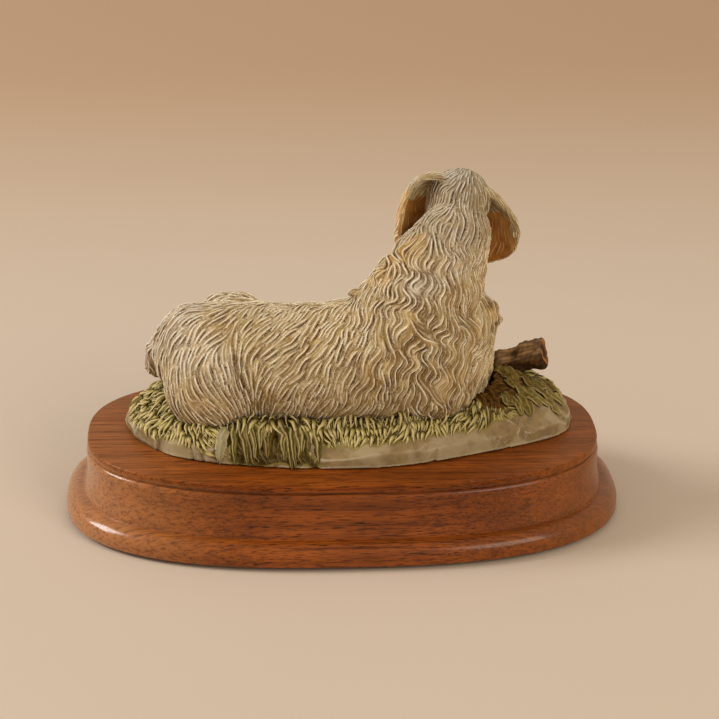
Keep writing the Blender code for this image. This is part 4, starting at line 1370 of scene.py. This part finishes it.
def shape_ground(mesh):
    """Carves the turf, the bank of earth and the rim.

    Gives the new points, the normals from before, how far each point lies inside the grass line
    and where the earth is bare.
    """
    points, normals = places(mesh), vertex_normals(mesh)
    inside, edge = rim_distance(points), grass_line(points)
    ragged = 0.5 * ripple(points, 11, 31) + 0.5 * ripple(points, 4, 32)
    turf = blend_in(-1.0, 0.8, inside + ragged - edge) * blend_in(0.05, 0.4, normals[:, 2])
    hung = hanging_turf(points)
    turf = np.maximum(turf, hung * blend_in(*HUNG_FOOT, points[:, 2] + ragged))
    earth = sum(blot(points * (1, 1, 0), (*place, 0), BANK_SIZE) for place in BANK_PLACES)
    earth = np.clip(earth, 0, 1) * blend_in(*BANK_FOOT, points[:, 2])
    surface = Surface(points, normals, outward_ways(points, normals, 33))
    comb = Comb(surface, TURF_SPACING * (1 + 0.2 * ripple(points, 7, 36)), 34)
    comb.block(np.nonzero((turf < 0.3) | (normals[:, 2] < 0))[0])
    comb.fill(stroke_starts(len(points), 60), lengths=(5, 10), closeness=0.42)
    relief, gap, across = comb.raise_strands(0.62, 2.0, 0.4)
    move = turf * (relief - 0.3) * (1.3 + 0.3 * earth)
    move += (0.45 * ripple(points, 15, 35) - 0.2) * blend_in(27, 28, points[:, 2])
    move += earth * (0.4 * ripple(points * (1, 1, 0.35), 3.5, 37) + 0.2 * ripple(points, 1.8, 38))
    points = chip(points, inside, 39) + normals * move[:, None]
    put_places(mesh, points)
    ends, count = edge_ends(mesh), len(points)
    bulge = ((points - neighbour_mean(points, ends, count)) * vertex_normals(mesh)).sum(1)
    bulge = neighbour_mean(neighbour_mean(bulge, ends, count), ends, count)
    tall = blend_in(0.05, 0.4, relief + 0.6 * (gap > 0.3)) * blend_in(0.95, 0.7, gap)
    store(mesh, {
        "edge": np.clip(bulge / 0.02, 0, 1),
        "turf": turf,
        # carve: how deep between the turf strands, raised where the turf hangs over the rim, so the paint
        # darkens it there as painted shade under the hanging blades
        "carve": np.maximum(np.clip(0.9 - 1.2 * relief, 0, 1), 0.85 * hung) * turf,
        "earth": np.clip(earth * 1.7, 0, 1),
        "across": across,
        "tall": tall * (1 - 0.85 * hung) * (0.45 + 0.55 * blend_in(50, 42, points[:, 0])),
    })
    return points, normals, inside - edge, earth


def ground_finish(values):
    ground = Finish("painted_ground", specular_ior_level=0.12)
    here = ground.millimetres()
    turf, carve, earth = (ground.attribute(name) for name in ("turf", "carve", "earth"))
    across, tall = ground.attribute("across"), ground.attribute("tall")
    line = ground.line(across, 0.08, 0.34) * tall
    # A dark line along one side of each turf strand: painted shade
    painted_shade = ground.between(across, 0.25, 0.5) * ground.between(across, 0.95, 0.6) * tall
    blotch = ground.noise(here, 12, 3)
    mottle = ground.noise(here, 1.5, 3)
    speck = ground.noise(here, 4, 4, 0.65)
    grass, slab = tuple(values.grass), tuple(values.slab)
    stone = ground.mix(ground.between(speck, 0.36, 0.66), tuple(0.72 * c for c in slab), slab)
    stone = ground.mix(ground.between(blotch, 0.45, 0.62) * 0.85, stone, (0.50, 0.39, 0.27))
    # Paler on the stone's convex edges: rubbed wear and painted highlight
    wear_and_sheen = ground.between(ground.attribute("edge") + 0.3 * mottle - 0.15, 0.4, 0.95)
    stone = ground.mix(wear_and_sheen * 0.5, stone, (0.60, 0.51, 0.38))
    moss = ground.between(turf + 0.7 * blotch - 0.2, 0.0, 0.45)
    stone = ground.mix(moss * 0.8, stone, (0.23, 0.175, 0.05))
    green = ground.mix(ground.between(mottle, 0.3, 0.7), tuple(0.7 * c for c in grass), grass)
    # Dark between the turf strands, and painted shade where the turf hangs under the broad blades
    green = ground.mix(ground.between(carve + 0.3 * mottle - 0.15, 0.3, 0.95), green, (0.06, 0.034, 0.003))
    green = ground.mix(painted_shade * 0.7, green, (0.06, 0.034, 0.003))
    green = ground.mix(line * 0.85, green, tuple(values.grass_tip))
    soil = ground.mix(ground.between(mottle, 0.3, 0.7), (0.028, 0.011, 0.001), (0.15, 0.068, 0.01))
    soil = ground.mix(line * 0.6, soil, (0.28, 0.16, 0.035))
    colour = ground.mix(ground.between(turf, 0.35, 0.6), stone, green)
    colour = ground.mix(ground.between(earth + 0.4 * mottle - 0.2, 0.35, 0.6), colour, soil)
    ground.set(base_color=colour, roughness=ground.between(mottle, 0.3, 0.7, 0.62, 0.8))
    ground.bump(mottle * 0.5 + line * turf * 1.3, 0.2)
    return ground.material


def grass_finish(values):
    grass = Finish("painted_grass", specular_ior_level=0.12)
    here = grass.millimetres()
    run, own, crest = (grass.attribute(name) for name in ("run", "own", "crest"))
    mottle = grass.noise(here, 1.2, 3)
    blotch = grass.noise(here, 9, 2)
    body, light = tuple(values.grass), tuple(values.grass_tip)
    # Dark at each blade's root: painted shade where it meets the ground
    green = grass.mix(grass.between(run + 0.3 * mottle - 0.15, 0.0, 0.4), (0.045, 0.026, 0.001), body)
    green = grass.mix(grass.between(own, 0.3, 0.9) * 0.45, green, (0.24, 0.165, 0.03))
    green = grass.mix(grass.between(blotch, 0.5, 0.75) * 0.5, green, (0.50, 0.40, 0.20))
    # Pale on the top of each blade and dark on its lower side: painted highlight and painted shade
    painted_highlight = crest * grass.between(run, 0.1, 0.6) * grass.between(own, 0.0, 0.4, 0.5, 0.95)
    green = grass.mix(grass.between(crest, 0.6, 0.0) * 0.9, green, (0.045, 0.026, 0.0))
    green = grass.mix(painted_highlight, green, light)
    grass.set(base_color=green, roughness=grass.between(mottle, 0.3, 0.7, 0.5, 0.68))
    grass.bump(mottle, 0.06)
    return grass.material


class ORNAMENT_PG_ground(bpy.types.PropertyGroup):
    grass: colour_setting("Grass", "Green of the blades and the turf", (0.385, 0.315, 0.08))
    # Its pale green is also the painted highlight on the top of each blade
    grass_tip: colour_setting("Grass tips", "Pale green on the blades' ridges", (0.76, 0.63, 0.32))
    slab: colour_setting("Slab", "Colour of the bare stone rim", (0.30, 0.205, 0.10))
    blade_width: bpy.props.FloatProperty(
        name="Blade width", description="Width of a blade of grass, in millimetres",
        default=1.05, min=0.5, max=4.0,
    )


class ORNAMENT_OT_ground(bpy.types.Operator):
    """Shape and paint the ground casting, and lay the grass over it"""

    bl_idname = "ornament.ground"
    bl_label = "Ground and grass"

    def execute(self, context):
        values = getattr(context.scene, SETTINGS).ground
        ground = merged_copy(["ground_casting"], "turf_ground")
        remesh(ground, GROUND_GRAIN, GROUND_SMOOTHING)
        points, normals, inside, earth = shape_ground(ground.data)
        ground.data.shade_smooth()
        ground.data.materials.append(ground_finish(values))
        hand_over(ground, "grass_paint", "ground_casting")
        lay_grass(values, points, normals, inside, earth)
        lay_leaves(values, ground.data)
        return {"FINISHED"}


def from_0_to_1(values):
    return (values - values.min()) / (values.max() - values.min())


def take_pattern(obj):
    """Removes the object and gives its corners, with X and Z from 0 to 1, and its faces."""
    corners = np.array([vertex.co for vertex in obj.data.vertices])
    corners[:, 0] += 0.5
    corners[:, 2] = from_0_to_1(corners[:, 2])
    faces = [tuple(polygon.vertices) for polygon in obj.data.polygons]
    bpy.data.objects.remove(obj)
    return corners, faces


def blade_pattern(rows):
    """A three-sided bar along X from 0 to 1, cut into rows: its width and height are 1."""
    blade = add_primitive("cylinder", vertices=3, radius=0.5, depth=1.0, rotation=(0, math.pi / 2, 0))
    settle(blade)

    def cut_rows():
        for i in range(1, rows):
            bpy.ops.mesh.select_all(action="SELECT")
            bpy.ops.mesh.bisect(plane_co=(i / rows - 0.5, 0, 0), plane_no=(1, 0, 0))
        bpy.ops.mesh.select_all(action="SELECT")
        bpy.ops.mesh.normals_make_consistent(inside=False)

    in_edit_mode(blade, cut_rows)
    corners, faces = take_pattern(blade)
    corners[:, 1] = from_0_to_1(corners[:, 1]) - 0.5
    return corners, faces


def lay_shape(pattern, line, ups, width, height, outline, lift, cup=0.0):
    """Bends a flat pattern along a line over the ground. The outline gives its width along the way."""
    corners, _ = pattern
    run = corners[:, 0]

    def at(share, rows):
        knots = np.linspace(0, 1, len(rows))
        return np.stack([np.interp(share, knots, rows[:, k]) for k in range(3)], 1)

    middle, up = at(run, line), unit(at(run, ups))
    ahead, behind = at(np.minimum(run + 0.08, 1), line), at(np.maximum(run - 0.08, 0), line)
    side = unit(np.cross(up, ahead - behind))
    share = outline(run)
    across = corners[:, 1] * width * share
    rise = (corners[:, 2] - 0.35) * height * np.sqrt(np.maximum(share, 0.02)) + lift(run)
    rise = rise + cup * (2 * np.abs(corners[:, 1])) ** 2 * share
    return middle + side * across[:, None] + up * rise[:, None]


def join_shapes(name, shapes, faces, layers):
    """One mesh from many copies of a pattern."""
    count = len(shapes[0])
    mesh = bpy.data.meshes.new(name)
    all_faces = [tuple(i + k * count for i in face) for k in range(len(shapes)) for face in faces]
    mesh.from_pydata((np.concatenate(shapes) * MM).tolist(), [], all_faces)
    store(mesh, {layer: np.concatenate(values) for layer, values in layers.items()})
    mesh.shade_smooth()
    return add_object(name, mesh)


def bare_of_blades(points, normals, inside, earth):
    """Where no blade grows: on steep faces, on the bank, and where the broad blades hang."""
    x, y, _ = points.T
    hung = (x > HUNG_SPAN[0]) & (x < HUNG_SPAN[1]) & (y < HUNG_BACK[1]) & (inside < 3)
    bank = (x > BANK_CORNER[0]) & (y < BANK_CORNER[1])
    return (normals[:, 2] < 0.05) | (earth > 0.45) | bank | hung


def lay_grass(values, points, normals, inside, earth):
    """Pointed blades of grass that hang outwards over the ground, the lowest row first."""
    pattern = blade_pattern(BLADE_ROWS)
    corners, faces = pattern
    bare = bare_of_blades(points, normals, inside, earth)
    shapes, owns = [], []
    draw = random.Random(51)

    def outline(run):
        return (0.7 + 0.3 * np.sin(math.pi * np.minimum(run / 0.7, 1))) * (1 - run ** 2.6) + 0.05

    for row, (spacing, lengths, height, (low, high), lift, breadth) in enumerate(GRASS_ROWS):
        ways = outward_ways(points, normals, 60 + 3 * row, 1.3)
        comb = Comb(Surface(points, normals, ways), np.full(len(points), spacing), 70 + row)
        comb.block(np.nonzero(bare | (inside <= low) | (inside >= high))[0])
        order = stroke_starts(len(points), 50, 7 * row, 80 + row)
        comb.fill(order, lengths=lengths, closeness=0.32, shortest=9)
        for path in comb.strokes:
            line = np.array([place for place, _ in path])
            ups = np.array([comb.normals[index] for _, index in path])
            width = values.blade_width * breadth * draw.uniform(0.7, 1.3)
            arch = draw.uniform(0.1, 0.6)
            start = lift + draw.uniform(-0.25, 0.2)

            def rise(run):
                return start + arch * np.sin(math.pi * np.minimum(run * 0.9 + 0.05, 1)) - 0.3 * run

            shapes.append(lay_shape(pattern, line, ups, width, height, outline, rise))
            owns.append(np.full(len(corners), draw.random()))
    layers = {
        "run": [corners[:, 0]] * len(shapes),
        "own": owns,
        # crest: 0 on the blade's lower side and 1 on its top, for its painted shade and highlight
        "crest": [np.clip(corners[:, 2], 0, 1)] * len(shapes),
    }
    grass = join_shapes("grass_blades", shapes, faces, layers)
    grass.data.materials.append(grass_finish(values))
    hand_over(grass, "grass_paint")


# Broad leaves: root, tip, width, and from 0 olive over 0.5 green to 1 whitish
LEAVES = (
    ((-38.5, -21), (-41.8, -31.5), 4.6, 0.85),
    ((56, -1), (66, -10), 6.6, 0.25), ((57, -5), (61.5, -14), 5.6, 0.25), ((60, 3), (71.5, -4), 6.4, 0.2),
    ((62, 6), (74, 1), 5.6, 0.25), ((53, -4), (56.5, -12), 5.0, 0.15), ((59, -1), (69, -8), 4.2, 0.4),
    ((55, 7), (64, 1), 6.4, 0.0), ((59, 9), (70, 4), 6.2, 0.02), ((63, 11), (74, 7), 5.6, 0.02),
    ((53, 4), (59, -3), 5.6, 0.03), ((57, 5), (64, -2), 5.6, 0.08), ((51, 5), (54.5, 0), 3.6, 0.12),
    ((54, 1), (57, -5), 4.4, 0.1), ((51.5, -6), (54, -12), 3.2, 0.3), ((56, -7), (59, -14), 3.2, 0.4),
    ((66, -1), (72.5, -7), 3.8, 0.4), ((67, 4), (75, 0), 3.8, 0.35),
    ((-66, 8), (-71, 5), 2.6, 0.4), ((-60, 20), (-66, 24), 3.0, 0.4), ((-30, 31), (-33, 35), 3.0, 0.4),
    ((20, 30), (22, 35), 3.0, 0.4), ((48, 27), (53, 31), 3.2, 0.3), ((62, 17), (68, 20), 3.2, 0.2),
)
# Where broad blades hang over the rim in a close row: both ends of the row of roots, and their number
HANGING_ROW = ((-37, -20.5), (-11, -23), 15)
LEAF_ROWS, LEAF_COLUMNS = 10, 8
LEAF_STEPS = 12


def all_leaves():
    """The leaves with 0 after them, then the hanging blades with 1."""
    (x0, y0), (x1, y1), count = HANGING_ROW
    draw = random.Random(92)
    rows = [(*leaf, 0.0) for leaf in LEAVES]
    for i in range(count):
        share = i / (count - 1)
        x, y = x0 + (x1 - x0) * share, y0 + (y1 - y0) * share
        tip = (x + draw.uniform(-2.0, 3.4), y - draw.uniform(9.5, 16) + 3.0 * abs(share - 0.45))
        root = (x, y + draw.uniform(-0.8, 0.8))
        rows.append((root, tip, draw.uniform(3.0, 4.0), draw.uniform(0.12, 0.5), 1.0))
    return rows


def leaf_pattern(rows, columns):
    """A thin closed sheet along X from 0 to 1, one wide, to be bent into leaves."""
    leaf = add_primitive("grid", x_subdivisions=rows, y_subdivisions=columns, size=1.0)

    def thicken():
        bpy.ops.mesh.select_all(action="SELECT")
        bpy.ops.mesh.solidify(thickness=1.0)
        bpy.ops.mesh.select_all(action="SELECT")
        bpy.ops.mesh.normals_make_consistent(inside=False)

    in_edit_mode(leaf, thicken)
    return take_pattern(leaf)


def leaf_line(tree, root, tip, bend):
    """The leaf's middle line over the ground, bent sideways, and the way up along it."""
    root, tip = Vector(root), Vector(tip)
    side = (tip - root).orthogonal().normalized()
    line, ups = [], []
    for k in range(LEAF_STEPS):
        share = k / (LEAF_STEPS - 1)
        place = root.lerp(tip, share) + side * (bend * math.sin(math.pi * share))
        hit, normal, _, _ = tree.ray_cast(Vector((place.x, place.y, 80)), -UP)
        if line and (hit is None or normal.z < 0.4):
            below = line[-1].z - 1.3
            hit, normal, _, _ = tree.find_nearest(Vector((place.x, place.y, below)))
        line.append(hit)
        ups.append((normal + UP * 0.5).normalized())
    line = np.array(line)
    return np.array([line[max(0, k - 2):k + 3].mean(0) for k in range(len(line))]), np.array(ups)


def lay_leaves(values, mesh):
    """Broad leaves pressed on the ground with a raised middle rib, and wavy blades over the rim."""
    pattern = leaf_pattern(LEAF_ROWS, LEAF_COLUMNS)
    corners, faces = pattern
    off = abs(corners[:, 1])
    tree = BVHTree.FromPolygons(
        [vertex.co / MM for vertex in mesh.vertices], [polygon.vertices[:] for polygon in mesh.polygons]
    )
    shapes, layers = [], {"run": [], "own": [], "crest": [], "shade": []}
    draw = random.Random(91)
    for root, tip, width, pale, hanging in all_leaves():
        bend = draw.uniform(-0.9, 0.9)
        fold = draw.uniform(1.5, 2.6) * math.pi
        line, ups = leaf_line(tree, root, tip, bend)
        waves = np.cos(fold * (corners[:, 1] + 0.12) * 2)
        rib = 0.4 * np.exp(-((corners[:, 1] / 0.1) ** 2)) * (1 - hanging) + hanging * 0.32 * waves

        def outline(run):
            leaf = 1.95 * np.clip(run, 0.03, 1) ** 0.5 * np.clip(1 - run, 0.02, 1) ** 0.75
            blade = (0.8 + 0.2 * np.sin(math.pi * np.minimum(2 * run, 1))) * (1 - run ** 2.6) + 0.05
            return leaf * (1 - hanging) + blade * hanging

        def rise(run):
            arch = 0.45 + 0.5 * (1 - hanging) * run + 0.5 * np.sin(math.pi * run)
            return arch + rib * np.sin(math.pi * np.clip(run, 0.1, 0.95))

        cup = -0.5 - 0.5 * hanging
        shapes.append(lay_shape(pattern, line, ups, width, 0.5, outline, rise, cup))
        edge = np.maximum(0.5 * np.exp(-((corners[:, 1] / 0.06) ** 2)), blend_in(0.42, 0.5, off))
        ridges = blend_in(0.6, 1.0, waves) * blend_in(0.45, 0.3, off)
        layers["run"].append(0.4 + 0.6 * corners[:, 0])
        layers["own"].append(np.full(len(corners), pale))
        # crest: pale leaf edges and rib, and on the hanging blades a painted highlight on the raised ridges;
        # shade: painted shade on their edges and in the valleys between the ridges
        layers["crest"].append(edge * (1 - hanging) + hanging * ridges)
        layers["shade"].append(hanging * np.maximum(blend_in(0.3, 0.46, off), blend_in(-0.4, -1.0, waves)))
    leaves = join_shapes("broad_leaves", shapes, faces, layers)
    leaves.data.materials.append(leaf_finish(values))
    hand_over(leaves, "grass_paint")


def leaf_finish(values):
    leaf = Finish("painted_leaf", specular_ior_level=0.12)
    here = leaf.millimetres()
    run, pale, crest = (leaf.attribute(name) for name in ("run", "own", "crest"))
    mottle = leaf.noise(here, 1.2, 3)
    olive = leaf.mix(leaf.between(mottle, 0.3, 0.7), (0.07, 0.04, 0.004), (0.17, 0.11, 0.018))
    grass = tuple(values.grass)
    green = leaf.mix(leaf.between(mottle, 0.35, 0.65), (0.13, 0.085, 0.012), tuple(0.55 * c for c in grass))
    green = leaf.mix(leaf.between(pale, 0.1, 0.4), olive, green)
    green = leaf.mix(leaf.between(run, 0.75, 0.4) * 0.45, green, tuple(0.3 * c for c in grass))
    green = leaf.mix(leaf.attribute("shade") * 0.9, green, (0.05, 0.028, 0.0))
    green = leaf.mix(leaf.between(pale, 0.65, 1.0) * 0.9, green, (0.42, 0.37, 0.25))
    # Pale edges and rib, and the painted highlight on the hanging blades' ridges
    green = leaf.mix(crest * leaf.between(pale, 0.0, 0.4, 0.2, 0.55), green, tuple(values.grass_tip))
    leaf.set(base_color=green, roughness=leaf.between(mottle, 0.3, 0.7, 0.5, 0.68))
    leaf.bump(mottle, 0.08)
    return leaf.material


# Log

LOG_GRAIN = 0.3
LOG_SMOOTHING = 10
BARK_SPACING = 1.5
LOG_ENDS = (Vector((36, 15, 37.0)), Vector((68.5, 8, 49.1)))
# Saw cuts at the log's end: place and way
LOG_CUTS = (((68.6, 7, 50.3), (0.83, -0.2, 0.52)), ((69.3, 7, 45.1), (0.73, -0.15, -0.68)))


def bark_finish():
    bark = Finish("painted_bark", specular_ior_level=0.15)
    here = bark.millimetres()
    carve, sawn = bark.attribute("carve"), bark.attribute("sawn")
    mottle = bark.noise(here, 1.4, 4, 0.6)
    blotch = bark.noise(here, 6, 3)
    colour = bark.mix(bark.between(mottle, 0.3, 0.7), (0.045, 0.017, 0.004), (0.13, 0.058, 0.017))
    # Lighter where the bark faces up: painted light on the log's top
    crown = bark.between(bark.attribute("crown") + 0.6 * blotch - 0.3, 0.2, 0.8)
    colour = bark.mix(crown * 0.9, colour, (0.37, 0.22, 0.10))
    colour = bark.mix(carve * 0.8, colour, (0.022, 0.009, 0.003))
    ring = bark.mix(bark.attribute("ring") * mottle * 1.6, (0.05, 0.02, 0.005), (0.40, 0.17, 0.05))
    bark.set(base_color=bark.mix(sawn, colour, ring), roughness=bark.between(mottle, 0.3, 0.7, 0.55, 0.75))
    bark.bump(mottle, 0.12)
    return bark.material


def trim_log():
    """Saws the log's end, in edit mode."""
    for place, way in LOG_CUTS:
        bpy.ops.mesh.select_all(action="SELECT")
        bpy.ops.mesh.bisect(
            plane_co=Vector(place) * MM, plane_no=Vector(way).normalized(),
            use_fill=True, clear_outer=True,
        )


def carve_log(mesh):
    """Gives the log its bark, its lumps and the hollow in its end."""
    low, high = (np.array(end) for end in LOG_ENDS)
    length = (LOG_ENDS[1] - LOG_ENDS[0]).length
    axis = np.array((LOG_ENDS[1] - LOG_ENDS[0]).normalized())
    points, normals = places(mesh), vertex_normals(mesh)
    sawn = blend_in(0.62, 0.85, normals @ axis)
    ways = np.tile(axis, (len(points), 1)) + 0.2 * ripple(points, 9, 41)[:, None] * np.array(UP)
    surface = Surface(points, normals, along_surface(ways, normals))
    comb = Comb(surface, np.full(len(points), BARK_SPACING), 42)
    comb.block(np.nonzero(sawn > 0.3)[0])
    comb.fill(stroke_starts(len(points), 60), lengths=(4, 12), closeness=0.4)
    relief, *_ = comb.raise_strands(0.62, 1.4, 0.2)
    along = (points - low) @ axis / length
    move = (1 - sawn) * (relief - 0.5) * 0.2
    move = move + 0.42 * ripple(points, 6.5, 43) + 0.1 * ripple(points, 1.7, 44)
    move += (1 - sawn) * 0.45 * np.exp(-(((along - 0.93) / 0.06) ** 2))
    away = np.linalg.norm(np.cross(points - high, axis), axis=1) + 0.6 * ripple(points, 4, 45)
    move -= 1.1 * sawn * blend_in(4.0, 1.8, away)
    put_places(mesh, points + normals * move[:, None])
    store(mesh, {
        "carve": np.clip(0.8 - 1.4 * relief, 0, 1) * (1 - sawn),
        # crown: how far the surface faces up, for the painted light on the log's top
        "crown": np.clip(normals[:, 2], 0, 1),
        "sawn": sawn,
        "ring": blend_in(2.4, 4.0, away),
    })


class ORNAMENT_OT_log(bpy.types.Operator):
    """Carve and paint the short log"""

    bl_idname = "ornament.log"
    bl_label = "Log"

    def execute(self, context):
        log = merged_copy(["log"], "bark_log")
        in_edit_mode(log, trim_log)
        remesh(log, LOG_GRAIN, LOG_SMOOTHING)
        carve_log(log.data)
        log.data.shade_smooth()
        log.data.materials.append(bark_finish())
        hand_over(log, "bark_paint", "log")
        return {"FINISHED"}


# Stage


class ORNAMENT_PG_stage(bpy.types.PropertyGroup):
    floor: colour_setting("Floor", "Colour of the pale floor", (0.62, 0.515, 0.42))
    key: bpy.props.FloatProperty(
        name="Key light", description="Power of the large lamp at the upper left, in watts",
        default=33.0, min=0.0, soft_max=200.0, unit="POWER",
    )
    bounce: bpy.props.FloatProperty(
        name="Bounced light", description="Power of the wide lamp at the right, in watts",
        default=20.0, min=0.0, soft_max=100.0, unit="POWER",
    )
    fill: bpy.props.FloatProperty(
        name="Fill light", description="Brightness of the light from all round",
        default=0.55, min=0.0, soft_max=2.0,
    )


# Camera: its tilt, turn and roll in radians, distance and target in millimetres, and lens in pixels
PITCH, YAW, ROLL = 0.393576, 0.0655736, 0.01105375
DISTANCE = 729.45
LENS_PIXELS = 2202.57
TARGET = (5.518, 50.664)
PICTURE = 719
SENSOR = 36.0
# Lamps: place and width in metres, and colour
LAMPS = {
    "key": ((-1.9, 0.15, 1.3), 0.9, (1.0, 0.985, 0.965)),
    "bounce": ((1.3, -1.5, 1.3), 1.2, (1.0, 0.9, 0.76)),
}
LAMP_TARGET = Vector((0, 0, 0.04))
ROOM_COLOUR = (1.0, 0.87, 0.70, 1.0)
# Floor: its width in metres, the distance over which it darkens in millimetres, and how much; the darkening
# is a painted falloff of the light
FLOOR_WIDTH = 8.0
FAR = (120, 600)
FAR_SHARE = (0.78, 0.63, 0.485)


def add_camera():
    lens = bpy.data.cameras.new("camera")
    camera = add_object("camera", lens)
    turn = Matrix.Rotation(-YAW, 3, "Z")
    target = turn @ Vector((TARGET[0], 0, TARGET[1])) * MM
    back = Vector((0, -math.cos(PITCH), math.sin(PITCH))) * DISTANCE
    place = target + turn @ back * MM
    axis = (place - target).normalized()
    across = UP.cross(axis).normalized()
    facing = Matrix((across, axis.cross(across), axis)).transposed().to_4x4()
    camera.matrix_world = Matrix.Translation(place) @ facing @ Matrix.Rotation(ROLL, 4, "Z")
    lens.sensor_width = SENSOR
    lens.lens = SENSOR * LENS_PIXELS / PICTURE
    lens.shift_x = -0.5 / PICTURE
    lens.shift_y = 0.5 / PICTURE
    bpy.context.scene.camera = camera


def add_lamp(name, power, place, size, colour):
    light = bpy.data.lights.new(name, "AREA")
    light.size, light.energy, light.color = size, power, colour
    lamp = add_object(name, light)
    lamp.location = place
    lamp.rotation_euler = (Vector(place) - LAMP_TARGET).to_track_quat("Z", "Y").to_euler()


def floor_finish(values):
    paper = Finish("floor_paper", roughness=0.75)
    here = paper.millimetres()
    warm = tuple(values.floor)
    near = paper.mix(paper.noise(here, 160, 2), tuple(0.95 * c for c in warm), warm)
    # Darker further back: painted falloff of the light
    far = tuple(share * c for share, c in zip(FAR_SHARE, warm))
    paper.set(base_color=paper.mix(paper.between(paper.part(here, 1), *FAR), near, far))
    return paper.material


class ORNAMENT_OT_stage(bpy.types.Operator):
    """Add the floor, the lamps and the camera"""

    bl_idname = "ornament.stage"
    bl_label = "Stage"

    def execute(self, context):
        values = getattr(context.scene, SETTINGS).stage
        floor = add_primitive("plane", size=FLOOR_WIDTH)
        floor.name = "floor"
        floor.data.materials.append(floor_finish(values))
        world = bpy.data.worlds.new("soft_room")
        world.use_nodes = True
        sky = world.node_tree.nodes["Background"].inputs
        sky["Color"].default_value = ROOM_COLOUR
        sky["Strength"].default_value = values.fill
        context.scene.world = world
        for name, lamp in LAMPS.items():
            add_lamp(name, getattr(values, name), *lamp)
        context.scene.view_settings.view_transform = "Standard"
        add_camera()
        return {"FINISHED"}


class ORNAMENT_PG_settings(bpy.types.PropertyGroup):
    plinth: bpy.props.PointerProperty(type=ORNAMENT_PG_plinth)
    ground: bpy.props.PointerProperty(type=ORNAMENT_PG_ground)
    coat: bpy.props.PointerProperty(type=ORNAMENT_PG_coat)
    stage: bpy.props.PointerProperty(type=ORNAMENT_PG_stage)


class ORNAMENT_PT_panel(bpy.types.Panel):
    """Lists the steps that make the ornament, in their order"""

    bl_idname = "ORNAMENT_PT_panel"
    bl_label = "Dog ornament"
    bl_space_type = "VIEW_3D"
    bl_region_type = "UI"
    bl_category = "Ornament"

    def draw(self, context):
        for operator in OPERATORS:
            self.layout.operator(operator.bl_idname)


OPERATORS = (
    ORNAMENT_OT_plinth, ORNAMENT_OT_underside, ORNAMENT_OT_ground, ORNAMENT_OT_log,
    ORNAMENT_OT_coat, ORNAMENT_OT_eyes, ORNAMENT_OT_stage,
)
GROUPS = (
    ORNAMENT_PG_plinth, ORNAMENT_PG_ground, ORNAMENT_PG_coat, ORNAMENT_PG_stage, ORNAMENT_PG_settings,
)


def register():
    for cls in (*GROUPS, *OPERATORS, ORNAMENT_PT_panel):
        bpy.utils.register_class(cls)
    setattr(bpy.types.Scene, SETTINGS, bpy.props.PointerProperty(type=ORNAMENT_PG_settings))


def unregister():
    delattr(bpy.types.Scene, SETTINGS)
    for cls in reversed((*GROUPS, *OPERATORS, ORNAMENT_PT_panel)):
        bpy.utils.unregister_class(cls)


def main():
    register()
    bpy.ops.ornament.plinth()
    bpy.ops.ornament.underside()
    bpy.ops.ornament.ground()
    bpy.ops.ornament.log()
    bpy.ops.ornament.coat()
    bpy.ops.ornament.eyes()
    bpy.ops.ornament.stage()


if __name__ == "__main__":
    main()
